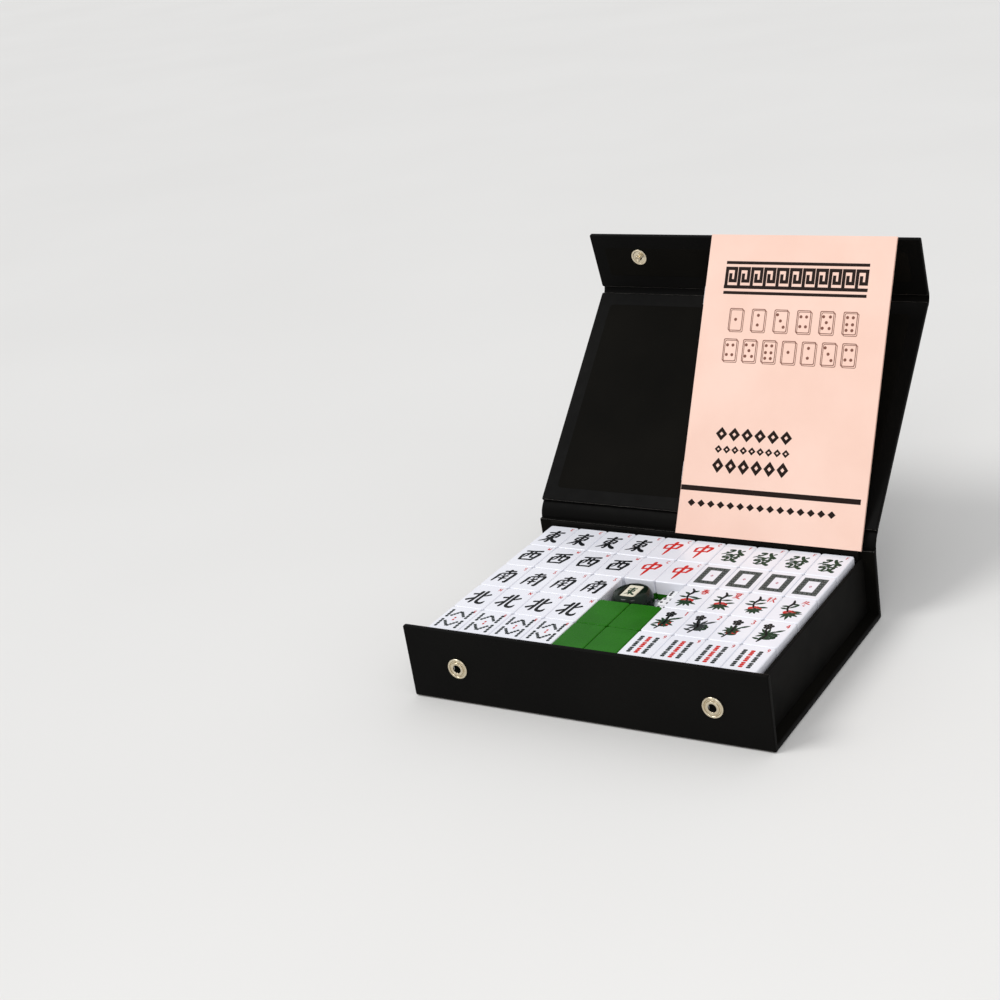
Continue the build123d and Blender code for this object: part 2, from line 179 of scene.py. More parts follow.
def steel_finish():
    finish = Finish("steel", (0.55, 0.55, 0.56), 0.3, metallic=1.0)
    return finish.rough(finish.noise(1800, 3, (8, 1, 8)), 0.22, 0.42).material


def gloss(name, color, other, roughness):
    wear = (300, 3, roughness * 0.85, roughness * 1.3)
    return made(name, color, other, roughness, (120, 3), [(200, 2, 0.03, 0.0002)], wear, specular=0.2)


def paper(name, color, other):
    grains = [(40, 2, 0.1, 0.001), (1600, 4, 0.12, 0.00006)]
    return made(name, color, other, 0.62, (22, 5), grains, specular=0.3)


def tile_plastic(name, color, other, roughness, patches, wear, **shader):
    return made(name, color, other, roughness, patches, [(90, 2, 0.04, 0.0004)], wear, **shader)


card_colors = (0.0034, 0.0032, 0.0028), (0.0062, 0.0056, 0.0048)
board_colors = (0.30, 0.28, 0.25), (0.20, 0.18, 0.16)
white_colors = (0.86, 0.865, 0.92), (0.83, 0.835, 0.90)
green_colors = (0.012, 0.125, 0.002), (0.016, 0.150, 0.004)
metal_colors = (0.74, 0.66, 0.50), (0.62, 0.53, 0.38)
metal_wear, metal_grains = (900, 5, 0.16, 0.34), [(1500, 3, 0.08, 0.00005)]
white_wear, green_wear = (220, 4, 0.2, 0.3), (260, 4, 0.22, 0.34)
materials = {
    "leatherette": leatherette_finish(),
    "lining": lining_finish(),
    "tray_card": made("tray_card", *card_colors, 0.65, (60, 5), [(900, 4, 0.2, 0.0001)], specular=0.05),
    "grey_board": made("grey_board", *board_colors, 0.9, (700, 6), [(1200, 5, 0.4, 0.0001)]),
    "tile_white": tile_plastic("tile_white", *white_colors, 0.24, (35, 3), white_wear, coat=0.1),
    "tile_green": tile_plastic("tile_green", *green_colors, 0.3, (45, 3), green_wear, specular=0.08),
    "snap_metal": made("snap_metal", *metal_colors, 0.22, (400, 4), metal_grains, metal_wear, metallic=1.0),
    "steel": steel_finish(),
    "marker_black": gloss("marker_black", (0.003, 0.008, 0.004), (0.005, 0.014, 0.007), 0.16),
    "marker_face": gloss("marker_face", (0.80, 0.76, 0.62), (0.74, 0.69, 0.54), 0.25),
    "dice": gloss("dice", (0.84, 0.84, 0.86), (0.80, 0.80, 0.82), 0.2),
    "booklet_paper": paper("booklet_paper", (0.94, 0.66, 0.55), (0.90, 0.61, 0.50)),
    "leaf_paper": paper("leaf_paper", (0.86, 0.84, 0.79), (0.80, 0.78, 0.72)),
}
ink_colors = {
    "ink_black": (0.004, 0.005, 0.006),
    "ink_red": (0.56, 0.022, 0.016),
    "ink_green": (0.012, 0.040, 0.018),
    "ink_slate": (0.026, 0.034, 0.034),
    "ink_grey": (0.15, 0.17, 0.16),
    "ink_rose": (0.42, 0.10, 0.14),
    "print_dark": (0.014, 0.007, 0.005),
    "print_line": (0.20, 0.085, 0.06),
    "gold": (0.62, 0.44, 0.13),
}
materials.update({name: ink_finish(name, color) for name, color in ink_colors.items()})

# ---- shapes ----


class Shape:
    """Points and faces of one piece, gathered with a finish for each face."""

    def __init__(self):
        self.points, self.faces, self.finishes, self.smooth = [], [], [], []

    def add(self, points, faces, finish, place=Matrix(), smooth=True):
        start, many = len(self.points), len(faces)
        self.points += [place @ Vector(point) for point in points]
        self.faces += [tuple(start + corner for corner in face) for face in faces]
        self.finishes += [finish(k) for k in range(many)] if callable(finish) else [finish] * many
        self.smooth += [smooth] * many

    def piece(self, name, body, slot, *nodes):
        """Make the object, let it ride on its body and stand for its nodes."""
        mesh = bpy.data.meshes.new(name)
        mesh.from_pydata([tuple(point) for point in self.points], [], self.faces)
        used = sorted(set(self.finishes))
        for finish in used:
            mesh.materials.append(materials[finish])
        mesh.polygons.foreach_set("material_index", [used.index(finish) for finish in self.finishes])
        mesh.polygons.foreach_set("use_smooth", self.smooth)
        mesh.set_sharp_from_angle(angle=radians(48))
        piece = bpy.data.objects.new(name, mesh)
        scene.collection.objects.link(piece)
        if body:
            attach(piece, body)
            even_shading(piece)
        if nodes:
            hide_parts(*nodes)
        return piece


def rounded_rectangle(half_x, half_y, radius, steps=4):
    """Corner points of a rectangle with round corners, anticlockwise."""
    points = []
    for quarter, (side_x, side_y) in enumerate(((1, 1), (-1, 1), (-1, -1), (1, -1))):
        for step in range(steps + 1):
            angle = (quarter + step / steps) * pi / 2
            x = side_x * (half_x - radius) + radius * cos(angle)
            y = side_y * (half_y - radius) + radius * sin(angle)
            points.append((x, y))
    return points


def stack(rings):
    """Points and faces of a closed solid through rings of equal count, from the lowest to the highest."""
    count = len(rings[0])
    points = [point for ring in rings for point in ring]
    faces = [tuple(reversed(range(count)))]
    for level in range(len(rings) - 1):
        low, high = level * count, (level + 1) * count
        faces += [(low + k, low + (k + 1) % count, high + (k + 1) % count, high + k) for k in range(count)]
    faces.append(tuple(range((len(rings) - 1) * count, len(rings) * count)))
    return points, faces


def facing(origin, x_dir, z_dir):
    """Place of a face, with its X along x_dir and its Z straight out of it."""
    x, z = Vector(x_dir).normalized(), Vector(z_dir).normalized()
    place = Matrix((x, z.cross(x), z)).transposed().to_4x4()
    place.translation = origin
    return place


def revolved(profile, steps=56):
    """Points and faces of a closed solid of revolution about Z, through (radius, height) points in mm."""
    spokes = [2 * pi * k / steps for k in range(steps)]
    rings = [[(r * MM * cos(s), r * MM * sin(s), height * MM) for s in spokes] for r, height in profile]
    return stack(rings)


def arc(centre, radius, start, end, steps):
    """Points on an arc, angles in degrees."""
    angles = [radians(start + (end - start) * k / steps) for k in range(steps + 1)]
    return [(centre[0] + radius * cos(angle), centre[1] + radius * sin(angle)) for angle in angles]


def end_levels(start, end, edge, steps=3):
    """(place, inset) pairs from one end of a bar to the other, both ends rounded."""
    turns = [pi / 2 * k / steps for k in range(steps + 1)]
    first = [(start + edge * (1 - sin(turn)), edge * (1 - cos(turn))) for turn in reversed(turns)]
    last = [(end - edge * (1 - sin(turn)), edge * (1 - cos(turn))) for turn in turns]
    return first + last


def soft_bar(outline_of, place, edge):
    """Points and faces of a bar along X with rounded ends; outline_of gives its section at an inset."""
    levels = end_levels(-half_width, half_width, edge)
    return stack([[place(x, a, b) for a, b in outline_of(inset)] for x, inset in levels])


def tube(path, radius, sides=10):
    """Points and faces of a round wire along a path of (x, y, z) in one plane across Z, all in mm."""
    up = Vector((0, 0, 1))
    path = [Vector(point) for point in path]
    rings = []
    for k, point in enumerate(path):
        ahead = (path[min(k + 1, len(path) - 1)] - path[max(k - 1, 0)]).normalized()
        side = up.cross(ahead)
        spokes = [2 * pi * n / sides for n in range(sides)]
        rings.append([(point + (side * cos(s) + up * sin(s)) * radius) * MM for s in spokes])
    return stack(rings)


def rounded_block(half_x, half_y, low, high, corner, edge):
    """Points and faces of a block whose upright corners and whose level edges are rounded."""
    rings = []
    for level, inset in end_levels(low, high, edge):
        outline = rounded_rectangle(half_x - inset, half_y - inset, corner - inset * 0.8)
        rings.append([(x, y, level) for x, y in outline])
    return stack(rings)


def even_shading(piece):
    """Let the large flat faces rule the shading of the narrow round ones beside them."""
    modifier = piece.modifiers.new("even_shading", "WEIGHTED_NORMAL")
    modifier.mode = "FACE_AREA"
    modifier.weight = 90


# ---- ink: brush strokes as thin raised ribbons ----

ink_lift = 0.03 * MM
ink_sink = 0.05 * MM


def spline(a, b, c, d, t):
    """A smooth value between b and c, with a and d as the values beyond them."""
    bend = (2 * a - 5 * b + 4 * c - d) * t * t
    twist = (3 * b - a - 3 * c + d) * t**3
    return 0.5 * (2 * b + (c - a) * t + bend + twist)


def curve_through(points, steps):
    """Smooth points through (x, y, width) points."""
    shares = [k / steps for k in range(steps)]
    if len(points) == 2:
        return [tuple(a + (b - a) * k / steps for a, b in zip(*points)) for k in range(steps + 1)]
    padded = [points[0], *points, points[-1]]
    spans = [padded[n : n + 4] for n in range(len(points) - 1)]
    smooth = [tuple(spline(*values, t) for values in zip(*span)) for span in spans for t in shares]
    return smooth + [points[-1]]


def ribbon(points, steps=5):
    """Outline of a stroke through (x, y, width) points, with rounded ends."""
    line = curve_through(points, steps)
    left, right = [], []
    for k, (x, y, width) in enumerate(line):
        x0, y0, _ = line[max(k - 1, 0)]
        x1, y1, _ = line[min(k + 1, len(line) - 1)]
        length = max(((x1 - x0) ** 2 + (y1 - y0) ** 2) ** 0.5, 1e-9)
        nx, ny = -(y1 - y0) / length, (x1 - x0) / length
        if k in (0, len(line) - 1):
            for side, row in ((1, left), (-1, right)):
                row.append((x + side * nx * width * 0.3, y + side * ny * width * 0.3))
            continue
        left.append((x + nx * width / 2, y + ny * width / 2))
        right.append((x - nx * width / 2, y - ny * width / 2))
    return left, right


def add_stroke(shape, points, finish, place, level=0, steps=5):
    """A stroke as a thin closed ribbon, in mm about the middle of a face."""
    left, right = ribbon(points, steps)
    top = ink_lift + level * 0.002 * MM
    count = len(left)
    corners = []
    for height in (-ink_sink, top):
        corners += [(x * MM, y * MM, height) for x, y in left]
        corners += [(x * MM, y * MM, height) for x, y in right]
    l0, r0, l1, r1 = 0, count, 2 * count, 3 * count
    faces = []
    for k in range(count - 1):
        faces.append((l1 + k, r1 + k, r1 + k + 1, l1 + k + 1))
        faces.append((l0 + k, l1 + k, l1 + k + 1, l0 + k + 1))
        faces.append((r0 + k, r0 + k + 1, r1 + k + 1, r1 + k))
        faces.append((l0 + k, l0 + k + 1, r0 + k + 1, r0 + k))
    faces.append((l0, r0, r1, l1))
    last = count - 1
    faces.append((l0 + last, l1 + last, r1 + last, r0 + last))
    shape.add(corners, faces, finish, place, smooth=False)


def add_patch(shape, outline, finish, place, level=0, hole=None):
    """A flat printed patch, or a ring round a hole of as many points, in mm about the middle of a face."""
    top = ink_lift + level * 0.002 * MM
    count = len(outline)
    low = [(x * MM, y * MM, -ink_sink) for x, y in outline]
    high = [(x * MM, y * MM, top) for x, y in outline]
    if hole is None:
        shape.add(*stack([low, high]), finish, place, smooth=False)
        return
    hole_low = [(x * MM, y * MM, -ink_sink) for x, y in hole]
    hole_high = [(x * MM, y * MM, top) for x, y in hole]
    points = low + high + hole_high + hole_low
    faces = []
    for ring in range(4):
        a, b = ring * count, (ring + 1) % 4 * count
        faces += [(a + k, a + (k + 1) % count, b + (k + 1) % count, b + k) for k in range(count)]
    shape.add(points, faces, finish, place, smooth=False)


def circle(x, y, radius, steps=14):
    spokes = [2 * pi * k / steps for k in range(steps)]
    return [(x + radius * cos(spoke), y + radius * sin(spoke)) for spoke in spokes]


def box_outline(x, y, width, height):
    corners = ((-1, -1), (1, -1), (1, 1), (-1, 1))
    return [(x + a * width / 2, y + b * height / 2) for a, b in corners]


def diamond(x, y, width, height):
    return [(x - width / 2, y), (x, y - height / 2), (x + width / 2, y), (x, y + height / 2)]


def add_meander(shape, place, x, y, width, height, line, finish):
    """One turn of a fret on its ground line, as bars that meet at right angles."""
    bars = (
        (x, y - height / 2 + line / 2, width * 1.05, line),
        (x - width / 2 + line / 2, y, line, height),
        (x, y + height / 2 - line / 2, width, line),
        (x + width / 2 - line / 2, y + height * 0.14, line, height * 0.72),
        (x + width * 0.16, y - height * 0.22 + line / 2, width * 0.68, line),
        (x - width * 0.18 + line / 2, y + height * 0.02, line, height * 0.36),
    )
    for level, bar in enumerate(bars):
        add_patch(shape, box_outline(*bar), finish, place, level)


# Characters as brush strokes on a square from 0 to 100, Y up: points as x, y and width, strokes parted by /.
characters = {
    "east": (
        "12 78 7, 50 81 6, 88 86 9 / 26 62 8, 24 36 6 / 26 62 5, 72 67 7, 70 38 7 / 28 50 5, 70 53 5 / 25 "
        "37 5, 70 40 6 / 50 99 10, 49 60 8, 50 22 8, 47 2 7, 38 8 2 / 46 36 9, 30 18 8, 6 4 2 / 54 36 5, 70 "
        "18 10, 94 6 12, 99 8 2"
    ),
    "south": (
        "24 84 7, 50 87 6, 78 91 8 / 51 100 9, 50 74 8 / 18 64 9, 18 36 8, 14 4 5 / 18 66 6, 60 72 7, 86 74 "
        "9, 84 30 9, 82 4 9, 70 10 2 / 38 62 8, 44 54 5 / 62 66 6, 54 54 3 / 32 46 6, 68 50 6 / 30 30 6, 70 "
        "33 6 / 50 52 7, 49 8 7"
    ),
    "west": (
        "8 84 8, 50 88 6, 92 93 10 / 16 62 10, 18 36 8, 24 12 8 / 16 63 6, 56 69 7, 88 70 10, 84 40 9, 78 "
        "14 8 / 40 88 8, 38 56 7, 28 36 3 / 60 88 8, 58 48 7, 64 38 7, 76 40 4 / 22 16 6, 50 19 7, 80 20 7"
    ),
    "north": (
        "6 66 8, 24 70 7, 34 72 6 / 38 94 10, 37 50 8, 34 12 8, 30 2 4 / 2 20 9, 20 32 8, 38 46 3 / 92 76 "
        "8, 78 66 7, 62 56 3 / 60 98 10, 59 50 8, 60 20 9, 70 8 9, 90 8 10, 97 26 2"
    ),
    "centre": (
        "14 74 10, 16 56 8, 20 40 7 / 14 74 6, 50 80 7, 88 82 10, 84 60 9, 80 46 7 / 18 44 6, 50 49 7, 84 "
        "52 7 / 52 102 11, 51 60 9, 50 26 9, 48 -6 3"
    ),
    "prosper": (
        "18 90 9, 42 92 8, 30 72 7, 2 50 3 / 14 74 8, 30 64 5 / 58 100 9, 70 76 10, 100 54 12 / 88 94 7, 74 "
        "82 4 / 22 52 7, 48 54 8, 46 42 6, 26 38 6 / 26 38 7, 24 26 7, 48 28 8, 42 4 8, 28 8 3 / 60 58 8, "
        "58 44 6, 50 36 3 / 60 58 6, 80 58 7, 80 44 7, 94 42 6 / 54 32 7, 84 34 8, 72 12 8, 46 -4 4 / 60 26 "
        "6, 76 8 10, 100 -4 11"
    ),
    "ten_thousand": (
        "8 88 6, 92 92 7 / 34 100 7, 33 80 5 / 66 100 7, 66 80 5 / 24 74 7, 26 48 5 / 24 74 5, 76 77 7, 74 "
        "50 6 / 26 62 4, 74 64 4 / 26 49 4, 74 51 5 / 50 76 6, 49 20 6 / 10 40 7, 10 4 6 / 10 40 5, 90 44 "
        "7, 88 4 7, 76 8 2 / 34 20 5, 62 24 5 / 56 32 5, 68 14 5"
    ),
    "one": "6 44 12, 50 48 8, 94 54 15",
    "two": "22 72 10, 76 78 12 / 6 24 12, 50 27 8, 94 31 14",
    "three": "20 84 9, 78 88 11 / 26 52 9, 72 55 10 / 6 14 11, 50 17 8, 94 21 14",
    "four": (
        "14 78 10, 18 14 8 / 14 78 6, 88 82 10, 82 16 9 / 40 76 7, 38 50 6, 26 38 2 / 62 78 7, 60 46 7, 76 "
        "44 5 / 18 18 6, 82 22 8"
    ),
    "five": "18 86 9, 80 90 10 / 48 86 9, 38 12 7 / 22 52 7, 70 55 8, 64 14 8 / 4 8 11, 96 14 14",
    "six": "50 98 11, 56 84 5 / 6 68 10, 94 74 13 / 40 56 8, 26 26 7, 6 6 2 / 60 54 5, 76 30 10, 90 8 12",
    "seven": "4 56 10, 94 68 13 / 46 94 11, 45 30 9, 56 12 9, 88 14 10, 92 30 2",
    "eight": "42 80 9, 30 40 8, 6 8 2 / 52 92 6, 66 46 10, 94 8 14",
    "nine": "36 94 10, 32 44 8, 6 6 2 / 8 62 9, 66 70 9, 64 24 8, 74 10 9, 94 14 9, 96 30 2",
    "spring": (
        "16 88 8, 84 90 8 / 22 72 8, 78 74 8 / 6 56 8, 94 58 10 / 50 100 9, 40 62 7, 6 30 2 / 54 60 6, 72 "
        "44 9, 98 30 10 / 32 40 8, 32 2 7 / 32 40 6, 70 42 8, 68 2 8 / 32 22 6, 68 23 6 / 32 4 6, 68 5 6"
    ),
    "summer": (
        "8 92 9, 92 94 10 / 30 80 7, 30 42 6 / 30 80 6, 72 82 8, 70 42 7 / 32 68 5, 70 69 5 / 32 56 5, 70 "
        "57 5 / 30 43 5, 70 44 6 / 44 40 7, 30 22 6, 8 12 2 / 30 30 5, 68 32 6, 44 8 6, 10 -4 2 / 38 22 5, "
        "62 6 9, 96 -6 10"
    ),
    "autumn": (
        "40 96 8, 22 88 5, 8 86 2 / 4 68 8, 48 72 8 / 27 88 8, 26 2 8 / 26 60 6, 16 40 5, 2 26 2 / 30 54 4, "
        "44 40 7 / 56 74 8, 60 56 5 / 96 80 7, 84 60 4 / 76 96 9, 74 50 8, 48 4 2 / 74 48 5, 84 24 9, 100 4 "
        "10"
    ),
    "winter": (
        "42 98 9, 30 74 7, 10 56 2 / 36 84 6, 74 88 8, 50 60 6, 8 38 2 / 34 72 5, 60 54 8, 96 42 10 / 46 34 "
        "9, 58 22 6 / 36 14 9, 60 -2 7"
    ),
    "E": "20 0 15, 20 100 15 / 20 93 13, 78 93 13 / 20 50 13, 68 50 13 / 20 7 13, 80 7 13",
    "S": "78 84 13, 50 98 15, 24 76 15, 50 52 15, 76 26 15, 48 2 15, 18 18 13",
    "W": "6 98 14, 28 2 14 / 28 2 12, 50 70 12 / 50 70 12, 72 2 12 / 72 2 14, 94 98 14",
    "N": "18 0 14, 18 100 14 / 18 98 14, 80 2 14 / 80 0 14, 80 100 14",
    "C": "80 80 13, 54 98 15, 24 70 15, 22 34 15, 50 2 15, 82 20 13",
    "F": "22 0 15, 22 100 15 / 22 93 13, 80 93 13 / 22 52 13, 66 52 13",
    "1": "34 82 10, 54 98 14, 54 50 15, 54 0 15",
    "2": "20 76 13, 48 98 14, 74 72 15, 44 30 14, 20 6 13 / 20 6 14, 82 6 14",
    "3": "22 86 13, 52 98 14, 72 74 15, 46 54 13 / 46 54 13, 78 28 15, 50 2 14, 18 14 13",
    "4": "62 0 14, 62 100 14 / 62 98 13, 14 34 13 / 14 32 13, 88 32 13",
    "5": "74 94 13, 30 94 13 / 30 94 13, 26 56 12 / 26 56 12, 66 58 14, 74 26 15, 48 2 14, 18 12 13",
    "6": "70 92 13, 36 70 14, 24 26 15, 50 2 14, 76 26 15, 52 50 13, 28 34 12",
    "7": "18 93 14, 80 93 14 / 80 93 13, 52 46 14, 42 0 14",
    "8": "50 98 14, 26 76 14, 50 54 13, 76 26 15, 50 2 14, 24 26 15, 50 54 13, 74 76 14, 50 98 14",
    "9": "74 62 12, 48 48 14, 26 72 14, 50 98 14, 76 74 15, 66 26 14, 34 2 13",
}


def strokes_of(name):
    """The strokes of a character, each as its (x, y, width) points."""
    strokes = [stroke.split(",") for stroke in characters[name].split("/")]
    return [[tuple(int(value) for value in point.split()) for point in stroke] for stroke in strokes]


def add_character(shape, name, finish, place, x, y, width, height, weight=1.0, lean=0.0):
    """Draw a character with its middle at (x, y), in mm about the middle of a face."""
    for level, stroke in enumerate(strokes_of(name)):
        points = []
        for a, b, thick in stroke:
            u, v = (a - 50) / 100, (b - 50) / 100
            broad = thick / 100 * weight * (width + height) / 2
            points.append((x + (u + lean * v) * width, y + v * height, broad))
        add_stroke(shape, points, finish, place, level, 4)


# ---- covers ----

skin_low = -0.35 * MM  # depths across a hinged cover, from its fold line
face_high = 2.95 * MM
board_edge = 1.0 * MM  # rounding of the covering over a board's edge
end_edge = 0.8 * MM  # rounding at the two ends of a board
turn_in = 9.0 * MM  # covering turned in over the lined face's border
band_turns, band_pitch = 8, 8.8  # gilt fret stamped on the lid's top, in mm
hinge_gap, fold_gap = 6.2 * MM, 3.7 * MM  # from a fold line to the covered board beside it


def across(origin, along):
    """Place (distance from a fold line, depth) across a cover in its open position."""
    inward = Vector((0, -along.z, along.y))
    return lambda x, distance, depth: origin + along * distance + inward * depth + Vector((x, 0, 0))


def slab_outline(start, end, inset):
    """A covered board's section, all four long edges rounded."""
    edge = board_edge
    return (
        arc((start + edge, face_high - edge), edge - inset, 90, 180, 3)
        + arc((start + edge, skin_low + edge), edge - inset, 180, 270, 3)
        + arc((end - edge, skin_low + edge), edge - inset, 270, 360, 3)
        + arc((end - edge, face_high - edge), edge - inset, 0, 90, 3)
    )


def covered_panel(name, origin, along, start, end):
    """A hinged board in its covering, its lining glued inside a border of turned-in covering."""
    place = across(origin, along)
    slab = Shape()
    slab.add(*soft_bar(lambda inset: slab_outline(start, end, inset), place, end_edge), "leatherette")
    if name == "lid":
        inward = Vector((0, -along.z, along.y))
        outer_face = facing(place(0, (start + end) / 2, skin_low), (1, 0, 0), -inward)
        for k in range(band_turns):
            shift = (k - (band_turns - 1) / 2) * band_pitch
            add_meander(slab, outer_face, shift, 0, band_pitch * 0.955, 9.0, 0.85, "gold")
    slab.piece(f"{name}_covering", name, "leatherette", f"{name}_wrap")
    sheet = Shape()
    middle = (start + end) / 2
    rings = []
    for inset, depth in ((0.4, -0.3), (0.1, 0.0), (0.15, 0.1), (0.5, 0.14)):
        border = turn_in + inset * MM
        outline = rounded_rectangle(half_width - border, (end - start) / 2 - border, 2.5 * MM)
        rings.append([place(x, middle + y, face_high + depth * MM) for x, y in outline])
    sheet.add(*stack(rings), "lining")
    sheet.piece(f"{name}_lining_sheet", name, "lining", f"{name}_lining")


lid_length = (fold - hinge).length
flap_length = (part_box("flap_wrap")[1].z - fold.z) / flap_dir.z
covered_panel("lid", hinge, lid_dir, hinge_gap, lid_length - fold_gap)
covered_panel("flap", fold, flap_dir, fold_gap, flap_length)


ring_radius, hole_radius, hole_depth = 6.4, 3.2, 1.8  # of a snap's ring and of its hole, in mm
socket_low, socket_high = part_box("snap_sockets")
snap_x = socket_high.x - ring_radius * MM


def socket_place(side):
    """Place of a snap's ring on the front board, facing forward, on the left (-1) or the right (1)."""
    middle = Vector((side * snap_x, -outer_y, (socket_low.z + socket_high.z) / 2))
    return facing(middle, (1, 0, 0), (0, -1, 0))


def cut_socket_holes(piece):
    """Round holes in the front board's covering for the cups of the snaps."""
    cutter = Shape()
    for side in (-1, 1):
        hole = revolved([(hole_radius, -hole_depth), (hole_radius, 1.0)], 32)
        cutter.add(*hole, "leatherette", socket_place(side))
    mesh = bpy.data.meshes.new("cutter")
    mesh.from_pydata([tuple(point) for point in cutter.points], [], cutter.faces)
    tool = bpy.data.objects.new("cutter", mesh)
    scene.collection.objects.link(tool)
    cut = piece.modifiers.new("socket_holes", "BOOLEAN")
    cut.object = tool
    bpy.context.view_layer.update()
    shown = piece.evaluated_get(bpy.context.evaluated_depsgraph_get())
    cut_mesh = bpy.data.meshes.new_from_object(shown)
    piece.modifiers.clear()
    piece.data = cut_mesh
    bpy.data.objects.remove(tool)


def case_cover():
    """Front, bottom and spine boards in one covering, its folds and edges rounded, lined inside."""
    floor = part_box("tray_floor")[0].z
    spine_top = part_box("tray_back_wall")[1].z
    front_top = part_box("front_board")[1].z + 0.4 * MM
    inner = outer_y - floor
    edge, corner, inside = board_edge, 1.5 * MM, 0.3 * MM

    def outline(inset):
        return (
            arc((-inner - edge, front_top - edge), edge - inset, 0, 90, 3)
            + arc((-outer_y + edge, front_top - edge), edge - inset, 90, 180, 3)
            + arc((-outer_y + corner, corner), corner - inset, 180, 270, 4)
            + arc((outer_y - corner, corner), corner - inset, 270, 360, 4)
            + arc((outer_y - edge, spine_top - edge), edge - inset, 0, 90, 3)
            + arc((inner + edge, spine_top - edge), edge - inset, 90, 180, 3)
            + arc((inner - inside, floor + inside), inside + inset, 360, 270, 2)
            + arc((-inner + inside, floor + inside), inside + inset, 270, 180, 2)
        )

    count = len(outline(0))
    middle_band = 3

    def finish_of(face):
        band, side = divmod(face - 1, count)
        return "lining" if band == middle_band and side >= count - 7 else "leatherette"

    shape = Shape()
    shape.add(*soft_bar(outline, lambda x, a, b: Vector((x, a, b)), end_edge), finish_of)
    piece = shape.piece("case_covering", "case", "leatherette", "cover_wrap", "cover_lining")
    cut_socket_holes(piece)
    even_shading(piece)


case_cover()


def crease_strip(name, path, dips, *nodes):
    """The bare strip of covering between two boards, as a soft sheet bent round the fold line."""
    shape = Shape()
    half_thick, columns = 0.32 * MM, 40
    rings = []
    for k in range(columns + 1):
        x = -half_width + 0.1 * MM + (2 * half_width - 0.2 * MM) * k / columns
        taper = half_thick if 0 < k < columns else half_thick * 0.6
        shift = Vector((x, 0, 0))
        rows = []
        for side in (-1, 1):
            depths = [side * taper + dip for dip in dips]
            rows.append([point + normal * depth + shift for (point, normal), depth in zip(path, depths)])
        rings.append(rows[0] + rows[1][::-1])
    shape.add(*stack(rings), "leatherette")
    return shape.piece(name, None, "leatherette", *nodes)


def strip_path(corner, back_dir, ahead_dir, back, ahead, steps=12):
    """Points and inward normals along a strip that bends softly round a fold line."""
    points = []
    for k in range(steps + 1):
        t = k / steps
        point = (
            (corner + back_dir * back) * (1 - t) ** 2
            + corner * 2 * t * (1 - t)
            + (corner + ahead_dir * ahead) * t**2
        )
        tangent = (corner - (corner + back_dir * back)) * (1 - t) + (ahead_dir * ahead) * t
        tangent.normalize()
        points.append((point, Vector((0, -tangent.z, tangent.y))))
    return points


def soft_dip(count, depth):
    return [depth * sin(pi * k / (count - 1)) ** 2 for k in range(count)]


down = Vector((0, 0, -1))
lid_strip = strip_path(hinge, down, lid_dir, 6.5 * MM, 8.0 * MM)
strip = crease_strip("lid_crease_strip", lid_strip, soft_dip(len(lid_strip), 0.25 * MM), "lid_crease")
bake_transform(strip)
flap_strip = strip_path(fold, -lid_dir, flap_dir, 5.0 * MM, 5.0 * MM)
strip = crease_strip("flap_crease_strip", flap_strip, soft_dip(len(flap_strip), 0.2 * MM), "flap_crease")
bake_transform(strip)

# ---- tile faces ----

red, black, green, slate, grey = "ink_red", "ink_black", "ink_green", "ink_slate", "ink_grey"


def add_index(shape, place, name, finish=red):
    """The small letter or number in a face's upper right corner."""
    add_character(shape, name, finish, place, 7.4, 10.4, 2.3, 3.2, 1.25)


def wind_face(character, letter):
    def draw(shape, place):
        add_character(shape, character, black, place, -0.6, -0.6, 13.8, 16.6, 1.6, 0.1)
        add_index(shape, place, letter)

    return draw


def red_dragon_face(shape, place):
    add_character(shape, "centre", red, place, -0.4, 0.2, 12.4, 17.5, 1.45, 0.1)
    add_index(shape, place, "C")


def green_dragon_face(shape, place):
    add_character(shape, "prosper", green, place, -0.4, -0.4, 14.4, 15.6, 1.5, 0.12)
    add_index(shape, place, "F")


def white_dragon_face(shape, place):
    """A broad fretted frame round a small mark."""
    width, height, band = 14.8, 20.8, 3.7
    inner = box_outline(0, 0, width - 2 * band, height - 2 * band)
    add_patch(shape, box_outline(0, 0, width, height), slate, place, 0, inner)
    for inset in (0.55, band - 0.8):
        outer = box_outline(0, 0, width - 2 * inset, height - 2 * inset)
        hole = box_outline(0, 0, width - 2 * inset - 0.5, height - 2 * inset - 0.5)
        add_patch(shape, outer, grey, place, 1, hole)
    reach_x, reach_y = (width - band) / 2, (height - band) / 2
    across = [(k * reach_x / 2, side * reach_y) for k in (-2, -1, 0, 1, 2) for side in (-1, 1)]
    upright = [(side * reach_x, k * reach_y / 3) for k in (-2, -1, 0, 1, 2) for side in (-1, 1)]
    for x, y in across + upright:
        add_patch(shape, box_outline(x, y, 1.5, 1.5), grey, place, 1, box_outline(x, y, 0.9, 0.9))
    add_patch(shape, diamond(0, 0, 1.9, 2.6), "ink_rose", place, 1, diamond(0, 0, 0.7, 1.1))


def add_bamboo(shape, place, x, y, length, turn, finish, width=2.3, beads=3):
    """One stick as a row of swollen joints, its middle at (x, y)."""
    swing, rise = sin(turn), cos(turn)
    pitch = length / beads
    for bead in range(beads):
        middle = (bead - (beads - 1) / 2) * pitch
        points = []
        for share, swell in ((-0.46, 0.8), (-0.2, 1.0), (0.2, 1.0), (0.46, 0.8)):
            along = middle + share * pitch
            points.append((x - swing * along, y + rise * along, width * swell))
        add_stroke(shape, points, finish, place, 0, 2)


def bamboo_eight_face(shape, place):
    for side in (1, -1):
        for column, turn in ((-6.6, 0), (-2.3, -0.66), (2.3, 0.66), (6.6, 0)):
            length = 7.6 if turn else 9.6
            add_bamboo(shape, place, column, side * 5.7, length, turn * side, slate, 1.9, 4)
    for side in (1, -1):
        add_bamboo(shape, place, 0.0, side * 1.2, 1.8, 0.0, red, 1.2, 1)
    add_index(shape, place, "8")


